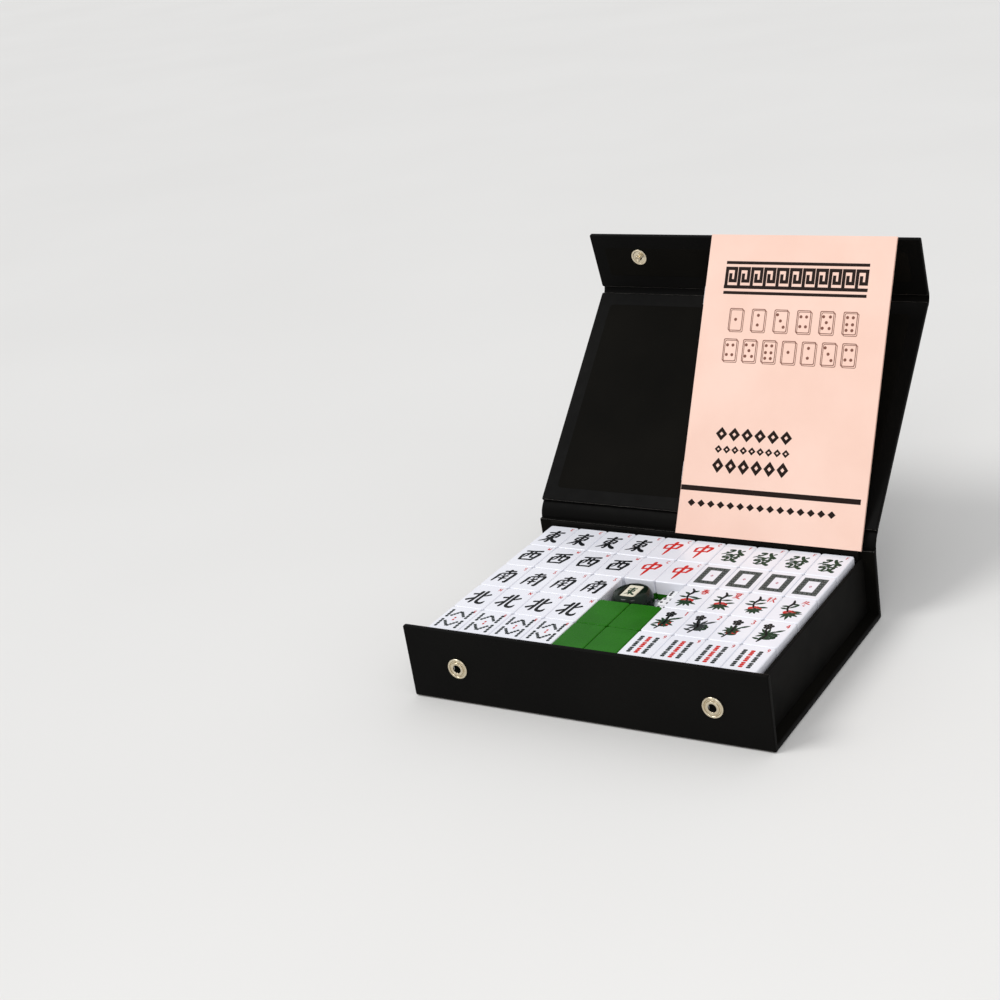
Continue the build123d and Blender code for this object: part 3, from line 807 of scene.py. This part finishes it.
def bamboo_grid_face(columns, rows, finishes, number, length):
    def draw(shape, place):
        for column, finish in zip(range(columns), finishes):
            for row in range(rows):
                x = (column - (columns - 1) / 2) * 4.6 - 0.4
                y = (row - (rows - 1) / 2) * (length + 0.5) - 0.4
                add_bamboo(shape, place, x, y, length, 0.0, finish, 2.5)
        add_index(shape, place, number)

    return draw


def bamboo_one_face(shape, place):
    """A standing bird, drawn plainly."""
    add_stroke(shape, [(-5, 7, 1.2), (-2, 3, 4.2), (0.5, -1, 6.0), (2.5, -6, 2.6)], green, place)
    add_patch(shape, circle(-4.6, 7.6, 1.7), green, place, 1)
    add_stroke(shape, [(-6.0, 7.8, 0.8), (-8.0, 7.0, 0.3)], red, place, 2)
    for k, (reach, ink) in enumerate(((-0.4, red), (1.6, green), (3.6, slate))):
        feather = [(1, -4, 1.2), (2 + reach, -8, 1.3), (3 + 1.6 * reach, -11, 1.9)]
        add_stroke(shape, feather, ink, place, 3 + k)
    for x in (-1.6, 0.4):
        add_stroke(shape, [(x, -3.4, 0.7), (x - 0.6, -8.6, 0.6), (x - 2.2, -9.2, 0.5)], red, place, 6)
    add_index(shape, place, "1")


def add_flower(shape, place, x, y, radius, finish, petals=6, squash=1.0):
    """A bloom of round petals about a centre."""
    for k in range(petals):
        angle = 2 * pi * k / petals + 0.3
        dx, dy = cos(angle), sin(angle) * squash
        middle = (x + radius * 0.6 * dx, y + radius * 0.6 * dy, radius * 0.78)
        tip = (x + radius * dx, y + radius * dy, radius * 0.4)
        add_stroke(shape, [(x, y, radius * 0.25), middle, tip], finish, place, k % 3, 3)
        inner = (x + radius * 0.62 * dx, y + radius * 0.62 * dy, radius * 0.14)
        add_stroke(shape, [(x, y, radius * 0.1), inner], grey, place, 4, 2)
    add_patch(shape, circle(x, y, radius * 0.2, 8), black, place, 5)


def add_leaves(shape, place, leaves, finish):
    """Leaves as tapered strokes from (x, y), each with its reach and its direction in degrees."""
    for level, (x, y, reach, angle) in enumerate(leaves):
        dx, dy = cos(radians(angle)) * reach, sin(radians(angle)) * reach
        points = [(x, y, 0.5), (x + dx * 0.55, y + dy * 0.55, 1.9), (x + dx, y + dy, 0.3)]
        add_stroke(shape, points, finish, place, 6 + level % 4, 3)


def season_face(number, character):
    def draw(shape, place):
        sway = (number - 2.5) * 0.5
        stem = [(-2.6 + sway, 10.8, 0.9), (-1.0, 7.0, 1.8), (-2.4, 2.0, 1.4), (-0.5, -3.0, 1.0)]
        add_stroke(shape, stem, black, place, 9)
        add_flower(shape, place, 0.3 + sway, -4.0, 4.2, red, 7, 0.72)
        fan = [(0.2 + sway, -4.6, 5.6 + (k * number) % 3, 176 + 31 * k + 9 * number) for k in range(6)]
        fan += [(-1.5, 3.5, 5.0, 140 + 12 * number), (-1.4, 6.0, 4.4, 58 - 14 * number)]
        fan += [(-1.8, 1.0, 6.8, 16 * number - 20), (-1.8, 0.0, 4.6 + number % 2, 172)]
        fan += [(1.6, -2.0, 6.0, 34 - 9 * number)]
        add_leaves(shape, place, fan, green)
        add_character(shape, character, red, place, 5.4, 8.4, 5.6, 6.2, 1.5)

    return draw


def plant_face(number):
    def draw(shape, place):
        sway = (number % 2 - 0.5) * 2.2
        bloom = red if number in (1, 3) else green
        twig_ink = slate if number == 2 else green
        stem = [(-3.5, -10.5, 1.2), (-1.0, -3.0, 1.3), (-2.4 + sway, 3.0, 1.2), (-2.0 + sway, 8.0, 0.8)]
        add_stroke(shape, stem, black, place, 9)
        add_flower(shape, place, -2.6 + sway, 7.2, 3.3, black, 5)
        add_flower(shape, place, 0.6 - sway, -3.0, 3.9, bloom, 7)
        twigs = [(-1.2, -1.6, 5.4 + (k * number) % 3, 40 * k + 13 * number) for k in range(9)]
        twigs += [(-2.4, -7.0, 5.8, 12), (-2.8, -7.6, 5.0, 166), (1.0, 1.0, 7.4, 34)]
        add_leaves(shape, place, twigs, twig_ink)
        add_character(shape, str(number), red, place, 6.9, 9.6, 2.9, 4.2, 1.3)

    return draw


dot_places = {
    1: [(0, 0)],
    2: [(0, 6), (0, -6)],
    3: [(-5, 7.5), (0, 0), (5, -7.5)],
    4: [(-4, 6), (4, 6), (-4, -6), (4, -6)],
    5: [(-4.8, 7), (4.8, 7), (0, 0), (-4.8, -7), (4.8, -7)],
    6: [(-4, 7), (4, 7), (-4, -1.5), (4, -1.5), (-4, -8.5), (4, -8.5)],
    7: [(-5, 8.5), (0, 5.8), (5, 3.2), (-4, -2.5), (4, -2.5), (-4, -8.8), (4, -8.8)],
    8: [(x, y) for x in (-4, 4) for y in (8.6, 2.9, -2.9, -8.6)],
    9: [(x, y) for x in (-5.6, 0, 5.6) for y in (7.6, 0, -7.6)],
}
dot_inks = (green, red, slate)


def dots_face(number):
    def draw(shape, place):
        radius = {1: 7.0, 2: 4.4, 3: 3.4}.get(number, 2.7)
        for k, (x, y) in enumerate(dot_places[number]):
            ink = dot_inks[(k + number) % 3]
            for level, (outer, inner) in enumerate(((1.0, 0.78), (0.6, 0.34))):
                hole = circle(x - 0.4, y - 0.4, radius * inner)
                add_patch(shape, circle(x - 0.4, y - 0.4, radius * outer), ink, place, level, hole)
            add_patch(shape, circle(x - 0.4, y - 0.4, radius * 0.18, 8), red, place, 2)
        add_index(shape, place, str(number))

    return draw


number_names = ("one", "two", "three", "four", "five", "six", "seven", "eight", "nine")


def number_face(number):
    def draw(shape, place):
        add_character(shape, number_names[number - 1], black, place, -0.4, 6.2, 10.5, 8.8, 1.1)
        add_character(shape, "ten_thousand", red, place, -0.4, -6.0, 12.0, 11.5, 1.1)
        add_index(shape, place, str(number))

    return draw


def bamboo_face(number):
    if number == 1:
        return bamboo_one_face
    rows_of = {2: (1, 2), 3: (1, 3), 4: (2, 2), 5: (2, 2), 6: (3, 2), 7: (3, 2)}
    columns, rows = rows_of[number]
    inks = [(green,), (slate, slate), (green, red, green)][columns - 1]
    plain = bamboo_grid_face(columns, rows, inks, str(number), 8.5 if rows == 2 else 6.6)
    if number not in (5, 7):
        return plain

    def draw(shape, place):
        plain(shape, place)
        x, y = (0.0, 0.0) if number == 5 else (-0.4, 11.8)
        add_bamboo(shape, place, x, y, 3.2, 0.0, red, 2.0)

    return draw


# ---- tiles ----

tile_half_x, tile_half_y = 10.25 * MM, 14.2 * MM
tile_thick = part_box("east_wind_tiles")[1].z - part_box("east_wind_tiles")[0].z
pitch_x, pitch_y = 20.7 * MM, 28.6 * MM
back_thick = 4.3 * MM
corner, edge = 1.7 * MM, 0.8 * MM


def tile_rings():
    """Rings of a tile from its back up: the coloured back, the bond's fine groove, the white front."""
    turns = [radians(angle) for angle in (0, 30, 60, 90)]
    round_edge = [(edge * (1 - sin(turn)), edge * (1 - cos(turn))) for turn in turns]
    levels = list(round_edge)
    levels += [(0.0, back_thick - 0.06 * MM), (0.05 * MM, back_thick), (0.0, back_thick + 0.06 * MM)]
    levels += [(inset, tile_thick - level) for inset, level in reversed(round_edge)]
    rings = []
    for inset, level in levels:
        outline = rounded_rectangle(tile_half_x - inset, tile_half_y - inset, corner - inset * 0.8)
        rings.append([(x, y, level) for x, y in outline])
    return rings


tile_points, tile_faces = stack(tile_rings())
tile_side_count = len(rounded_rectangle(tile_half_x, tile_half_y, corner))


def tile_finish(face):
    band = (face - 1) // tile_side_count
    return "tile_green" if face == 0 or band < 5 else "tile_white"


def tile_place(column, row, level, face_down=False):
    place = Matrix.Translation(((column - 4.5) * pitch_x, (row - 2) * pitch_y, level))
    if face_down:
        place = place @ Matrix.Translation((0, 0, tile_thick)) @ Matrix.Rotation(pi, 4, "Y")
    return place


def tile_piece(name, node, body, cells, faces, face_down=False):
    """Tiles in their cells, each with the face that is drawn for it."""
    shape = Shape()
    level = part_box(node)[0].z
    for (column, row), draw in zip(cells, faces):
        place = tile_place(column, row, level, face_down)
        shape.add(tile_points, tile_faces, tile_finish, place)
        if draw:
            draw(shape, place @ Matrix.Translation((0, 0, tile_thick)))
    return shape.piece(name, body, "tile", node)


left_four, middle_two, right_four = range(4), (4, 5), range(6, 10)
season_names = ("spring", "summer", "autumn", "winter")
bamboo_nine_face = bamboo_grid_face(3, 3, (slate, red, slate), "9", 5.9)
# Each kind's columns, its rows from the front and the faces of its tiles.
top_layer = {
    "east_wind": (left_four, (4,), [wind_face("east", "E")] * 4),
    "west_wind": (left_four, (3,), [wind_face("west", "W")] * 4),
    "south_wind": (left_four, (2,), [wind_face("south", "S")] * 4),
    "north_wind": (left_four, (1,), [wind_face("north", "N")] * 4),
    "bamboo_eight": (left_four, (0,), [bamboo_eight_face] * 4),
    "red_dragon": (middle_two, (3, 4), [red_dragon_face] * 4),
    "green_dragon": (right_four, (4,), [green_dragon_face] * 4),
    "white_dragon": (right_four, (3,), [white_dragon_face] * 4),
    "season": (right_four, (2,), [season_face(n, name) for n, name in enumerate(season_names, 1)]),
    "plant": (right_four, (1,), [plant_face(n) for n in (1, 2, 3, 4)]),
    "bamboo_nine": (right_four, (0,), [bamboo_nine_face] * 4),
    "face_down": (middle_two, (0, 1), [None] * 4),
}
for name, (columns, rows, faces) in top_layer.items():
    cells = [(column, row) for column in columns for row in rows]
    tile_piece(f"{name}_set", f"{name}_tiles", "top_tiles", cells, faces, name == "face_down")
all_cells = [(column, row) for row in range(5) for column in range(10)]
middle_faces = [number_face(n) for n in range(1, 10) for _ in range(4)]
middle_faces += [bamboo_face(n) for n in (1, 2, 3) for _ in range(4)] + [bamboo_face(4)] * 2
bottom_faces = [dots_face(n) for n in range(1, 10) for _ in range(4)]
bottom_faces += [bamboo_face(4)] * 2 + [bamboo_face(n) for n in (5, 6, 7) for _ in range(4)]
tile_piece("middle_layer", "middle_row_tiles", "middle_tiles", all_cells, middle_faces)
tile_piece("bottom_layer", "bottom_row_tiles", "bottom_tiles", all_cells, bottom_faces)

# ---- snap fasteners ----

stud_from_fold = 26.6 * MM
socket_profile = (
    [(3.3, -1.9), (3.3, 0.0), (ring_radius, 0.0)]
    + arc((5.65, 0.35), 0.75, 0, 180, 8)
    + [(4.7, 0.3), (4.25, 0.34), (4.1, 0.55)]
    + arc((3.75, 0.95), 0.35, 0, 90, 3)
    + arc((2.85, 0.95), 0.35, 90, 180, 3)
    + [(2.5, 0.8), (3.0, 0.8), (3.0, 0.0), (2.5, 0.0), (2.5, -1.6)]
)
stud_profile = (
    [(5.5, 0.0)]
    + arc((5.2, 0.2), 0.3, 0, 90, 3)
    + arc((4.4, 0.2), 0.3, 90, 165, 3)
    + [(3.9, 0.25), (2.3, 0.25), (1.95, 0.4), (1.85, 0.7), (1.85, 2.3)]
    + arc((1.65, 2.7), 0.4, -60, 70, 6)
    + [(1.35, 3.1), (1.2, 2.95), (1.2, 0.3)]
)


def socket_finish(face, painted_shade_bands=3, spokes=56):
    """The cup inside a ring gets the tray's dark card finish, as painted shade in its hollow."""
    band = (face - 1) // spokes
    return "tray_card" if band >= len(socket_profile) - 1 - painted_shade_bands else "snap_metal"


def snap_fasteners():
    """A ring with its spring in the front board and a stud on the flap, on the left and on the right."""
    sockets, springs, studs = Shape(), Shape(), Shape()
    flap_in = Vector((0, -flap_dir.z, flap_dir.y))
    stud_foot = fold + flap_dir * stud_from_fold + flap_in * face_high
    for side in (-1, 1):
        front = socket_place(side)
        sockets.add(*revolved(socket_profile), socket_finish, front)
        for wire in (-1, 1):
            path = [(wire * (2.3 + 0.15 * t * t), 1.4 * t, 0.25) for t in (-1, -0.6, -0.2, 0.2, 0.6, 1)]
            springs.add(*tube(path, 0.24), "steel", front)
        foot = stud_foot + Vector((side * snap_x, 0, 0))
        studs.add(*revolved(stud_profile), "snap_metal", facing(foot, (1, 0, 0), flap_in))
    sockets.piece("snap_socket_rings", "case", "snap_metal", "snap_sockets")
    springs.piece("snap_socket_springs", "case", "steel", "snap_springs")
    studs.piece("snap_stud_posts", "flap", "snap_metal", "snap_studs")


snap_fasteners()

# ---- direction marker ----

body_low, body_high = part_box("marker_body")
marker_foot = Vector(((body_low.x + body_high.x) / 2, (body_low.y + body_high.y) / 2, body_low.z))
roller_middle = (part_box("marker_roller")[0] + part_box("marker_roller")[1]) / 2
roller_half, roller_half_length = 5.2, 7.3  # mm
slot_half_x, slot_half_y = 5.5, 7.6


def slot_reach(angle, power=10):
    """Distance from the middle of the roller's slot to its rounded outline."""
    x, y = abs(cos(angle)) / slot_half_x, abs(sin(angle)) / slot_half_y
    return (x**power + y**power) ** (-1 / power)


def marker_ring(radius, height, slot_share=0.0, steps=96):
    """A ring of the marker: round where slot_share is 0, the slot's outline where it is 1."""
    ring = []
    for k in range(steps):
        angle = 2 * pi * k / steps
        reach = radius * (1 - slot_share) + slot_reach(angle) * slot_share
        ring.append((reach * cos(angle) * MM, reach * sin(angle) * MM, height * MM))
    return ring


def marker_piece():
    """A glossy domed puck, widest low on its side, with the roller's slot through its top."""
    levels = (0.7, 2.0, 3.4, 4.8, 6.2, 7.6, 9.0, 10.2)
    side = [(12.84 - (level - 4.8) ** 2 / 23.0, level) for level in levels]
    profile = [(11.3, 0.0), (11.75, 0.15)] + side + [(11.2, 11.0), (10.75, 11.7), (10.2, 12.2)]
    rings = [marker_ring(radius, height) for radius, height in profile]
    rim = [(9.9, 12.45, 0.15), (9.7, 12.66, 0.45), (9.6, 12.77, 0.8), (9.6, 12.79, 0.94)]
    rings += [marker_ring(*point) for point in rim + [(9.6, 12.65, 1.0), (9.6, 0.4, 1.0)]]
    body = Shape()
    body.add(*stack(rings), "marker_black", Matrix.Translation(marker_foot))
    body.piece("marker_puck", "marker", "marker_black", "marker_body")


def roller_piece():
    """The four-sided roller, a wind's character on each side."""
    roller = Shape()
    half, reach = roller_half * MM, roller_half_length * MM
    block = rounded_block(half, half, -reach, reach, 1.5 * MM, 0.6 * MM)
    roller.add(*block, "marker_face", facing(roller_middle, (1, 0, 0), (0, 1, 0)))
    for turn, character in enumerate(("east", "south", "west", "north")):
        spin = Matrix.Rotation(turn * pi / 2, 4, "Y")
        face = Matrix.Translation(roller_middle) @ spin @ Matrix.Translation((0, 0, roller_half * MM))
        add_character(roller, character, green, face, 0, 0, 6.8, 9.0, 1.6)
    roller.piece("marker_wind_roller", "roller", "marker_face", "marker_roller")


marker_piece()
roller_piece()

# ---- dice ----

die_half = 4.2  # mm
corners, middle_spot = [(-1, 1), (1, -1), (1, 1), (-1, -1)], [(0, 0)]
pips = {
    1: middle_spot,
    2: corners[:2],
    3: corners[:2] + middle_spot,
    4: corners,
    5: corners + middle_spot,
    6: corners + [(-1, 0), (1, 0)],
}
# Turn in degrees and the spots on top, in front and on the right.
dice_lies = ((2, 5, 1, 3), (-4, 4, 1, 2), (3, 6, 2, 3))


def die_piece(number, turn, top, front, right):
    """A die with round edges; the spots on opposite faces add up to seven."""
    low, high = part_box(f"die_{number}")
    place = Matrix.Translation((low + high) / 2) @ Matrix.Rotation(radians(turn), 4, "Z")
    die = Shape()
    half = die_half * MM
    die.add(*rounded_block(half, half, -half, half, 1.5 * MM, 1.1 * MM), "dice", place)
    out = Matrix.Translation((0, 0, half))
    faces = {top: out, 7 - top: Matrix.Rotation(pi, 4, "X") @ out}
    for quarter, spots in enumerate((front, right, 7 - front, 7 - right)):
        faces[spots] = Matrix.Rotation(quarter * pi / 2, 4, "Z") @ Matrix.Rotation(pi / 2, 4, "X") @ out
    for spots, face in faces.items():
        for x, y in pips[spots]:
            add_patch(die, circle(x * 2.05, y * 2.05, 0.95, 16), black, place @ face)
    die.piece(f"spotted_die_{number}", f"die_{number}", "dice", f"die_{number}")


for number, lie in enumerate(dice_lies, start=1):
    die_piece(number, *lie)

# ---- booklet ----

booklet_low, booklet_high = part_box("booklet_cover")
booklet_lean = radians(60)
booklet_height, booklet_half_thick, cover_sheet = 187.0, 0.75, 0.25  # mm
booklet_half_width = (booklet_high.x - booklet_low.x) / 2 / MM
booklet_out = Vector((0, -sin(booklet_lean), cos(booklet_lean)))
booklet_foot = Vector(
    (
        (booklet_low.x + booklet_high.x) / 2,
        booklet_high.y - MM * (booklet_height * cos(booklet_lean) + booklet_half_thick * sin(booklet_lean)),
        booklet_low.z + booklet_half_thick * MM * cos(booklet_lean),
    )
)
booklet_place = facing(booklet_foot, (1, 0, 0), booklet_out)


def booklet_section():
    """The folded cover seen along its fold: front sheet, round fold at the left, back sheet, in mm."""
    loose, fold_x = booklet_half_width, booklet_half_thick - booklet_half_width
    inner = booklet_half_thick - cover_sheet
    outside = arc((fold_x, 0), booklet_half_thick, 90, 270, 8)
    inside = arc((fold_x, 0), inner, 270, 90, 8)
    front_edge, back_edge = (loose, booklet_half_thick), (loose, -booklet_half_thick)
    return [front_edge, *outside, back_edge, (loose, -inner), *inside, (loose, inner)]


def tile_sign(shape, place, x, y, spots):
    """A small plain outline of a standing tile with its side, and spots on its face."""
    for level, (shift, line) in enumerate(((0.9, 0.4), (0.0, 0.5))):
        outer = rounded_rectangle(4.6, 7.0, 1.0, 3)
        inner = rounded_rectangle(4.6 - line, 7.0 - line, 0.8, 3)
        ring = [[(x + shift + a, y - shift + b) for a, b in outline] for outline in (outer, inner)]
        add_patch(shape, ring[0], "print_line", place, level, ring[1])
    for a, b in dot_places[spots]:
        add_patch(shape, circle(x + a * 0.46, y + b * 0.5, 1.0, 12), "print_line", place, 2)


def booklet_print(shape, place):
    """Plain ornament in place of words and picture: a fret, tile outlines, rows of lozenges and a bar."""
    for k in range(11):
        add_meander(shape, place, (k - 5) * 8.6 - 1, 160, 8.2, 13.6, 2.1, "print_dark")
    for y in (150.6, 169.4):
        add_patch(shape, box_outline(-1, y, 94.2, 1.9), "print_dark", place)
    for row, (count, pitch, y) in enumerate(((6, 15.0, 134), (7, 13.0, 115))):
        for k in range(count):
            tile_sign(shape, place, (k - (count - 1) / 2) * pitch, y, (k + 3 * row) % 6 + 1)
    for count, pitch, y, tall in ((6, 8.6, 63, 8.5), (9, 5.6, 53.5, 5.0), (6, 8.6, 43.5, 9.5)):
        for k in range(count):
            x = (k - (count - 1) / 2) * pitch - 16
            hole = diamond(x, y, pitch * 0.3, tall * 0.3)
            add_patch(shape, diamond(x, y, pitch * 0.9, tall), "print_dark", place, 0, hole)
    add_patch(shape, box_outline(-1.5, 28.5, 118, 3.2), "print_dark", place)
    for k in range(15):
        add_patch(shape, diamond((k - 7) * 6.6 - 6, 19.5, 5.2, 4.6), "print_dark", place)


def booklet_pieces():
    """Folded cover with its print, the leaves inside and the two staples through the fold."""
    cover = Shape()
    rings = [[(x * MM, v * MM, level * MM) for x, v in booklet_section()] for level in (0.0, booklet_height)]
    cover.add(*stack(rings), "booklet_paper", booklet_place @ Matrix.Rotation(-pi / 2, 4, "X"))
    booklet_print(cover, booklet_place @ Matrix.Translation((0, 0, booklet_half_thick * MM)))
    cover.piece("booklet_folder", "booklet", "booklet_paper", "booklet_cover")
    leaves = Shape()
    sheets = 6
    for sheet in range(sheets):
        low = -0.48 + 0.96 * sheet / sheets
        right = booklet_half_width - 0.8 - 0.12 * abs(sheet - (sheets - 1) / 2)
        left = 0.6 - booklet_half_width
        outline = box_outline((left + right) / 2, booklet_height / 2, right - left, booklet_height - 0.6)
        rings = [[(x * MM, y * MM, level * MM) for x, y in outline] for level in (low, low + 0.13)]
        leaves.add(*stack(rings), "leaf_paper", booklet_place, smooth=False)
    leaves.piece("booklet_sheets", "booklet", "leaf_paper", "booklet_leaves")
    staples = Shape()
    back = -booklet_half_width
    legs = ((0.3, 5.8), (0.0, 5.8), (-0.2, 5.6))
    bends = [(back + shift, -y) for shift, y in legs] + [(back + shift, y) for shift, y in reversed(legs)]
    for side in (-1, 1):
        middle = booklet_height / 2 + side * 55.0
        path = [(x, middle + y, 0) for x, y in bends]
        staples.add(*tube(path, 0.18), "steel", booklet_place)
    staples.piece("booklet_wire_staples", "booklet", "steel", "booklet_staples")


booklet_pieces()

# ---- finishes of the CAD nodes that stay shown ----

node_slots = {part["node"]: part["material_slot"] for part in frame["record"]["subparts"]}
for node, cad in frame["nodes"].items():
    slot = node_slots[node]
    cad.data.materials.clear()
    cad.data.materials.append(materials["tile_white" if slot == "tile" else slot])

# ---- floor, light and camera ----


def lamp(name, kind, place, spread, power):
    """A lamp that looks at the case: spread is a sun's angle in degrees or a disk's size in metres."""
    data = bpy.data.lights.new(name, kind)
    data.energy = power
    if kind == "SUN":
        data.angle = radians(spread)
    else:
        data.shape = "DISK"
        data.size = spread
    lamp_object = bpy.data.objects.new(name, data)
    lamp_object.location = place
    gaze = Vector((0, 0.05, 0.05)) - Vector(place)
    lamp_object.rotation_euler = gaze.to_track_quat("-Z", "Y").to_euler()
    scene.collection.objects.link(lamp_object)


def studio():
    """Pale floor, even white surroundings, a soft sun from the left and a softbox for highlights."""
    pale = (0.80, 0.79, 0.77)
    floor_finish = Finish("floor", pale, 0.9, specular=0.1)
    floor_finish.vary(floor_finish.noise(3, 2), (0.785, 0.775, 0.755))
    mesh = bpy.data.meshes.new("floor")
    reach = 14.0
    corners = [(-reach, -reach, 0), (reach, -reach, 0), (reach, reach, 0), (-reach, reach, 0)]
    mesh.from_pydata(corners, [], [(0, 1, 2, 3)])
    mesh.materials.append(floor_finish.material)
    floor = bpy.data.objects.new("floor", mesh)
    floor.location.z = -0.0004
    scene.collection.objects.link(floor)
    world = bpy.data.worlds.new("studio")
    world.use_nodes = True
    nodes, links = world.node_tree.nodes, world.node_tree.links
    nodes["Background"].inputs["Color"].default_value = (0.97, 0.98, 1.0, 1)
    nodes["Background"].inputs["Strength"].default_value = 0.72
    backdrop = nodes.new("ShaderNodeBackground")
    backdrop.inputs["Color"].default_value = (*pale, 1)
    rays = nodes.new("ShaderNodeLightPath")
    choice = nodes.new("ShaderNodeMixShader")
    links.new(rays.outputs["Is Camera Ray"], choice.inputs["Fac"])
    links.new(nodes["Background"].outputs["Background"], choice.inputs[1])
    links.new(backdrop.outputs["Background"], choice.inputs[2])
    links.new(choice.outputs["Shader"], nodes["World Output"].inputs["Surface"])
    scene.world = world
    lamp("key", "SUN", (-0.9, -0.7, 1.5), 24, 1.1)
    lamp("softbox", "AREA", (0.5, -0.9, 1.0), 0.5, 2.5)
    scene.view_settings.view_transform = "Standard"


def photo_camera():
    """The photograph's camera, solved from the tiles, the boards' corners, the snaps and the lid."""
    azimuth, elevation, roll = radians(29.74), radians(22.47), radians(-7.31)
    data = bpy.data.cameras.new("photo_camera")
    data.sensor_width = 36.0
    data.lens = 61.83
    data.shift_x = -0.169
    data.shift_y = -0.013
    camera = bpy.data.objects.new("photo_camera", data)
    look = Euler((pi / 2 - elevation, 0, azimuth)).to_matrix().to_4x4() @ Matrix.Rotation(roll, 4, "Z")
    camera.matrix_world = Matrix.Translation((0.4632, -0.7646, 0.4744)) @ look
    scene.collection.objects.link(camera)
    scene.camera = camera


studio()
photo_camera()
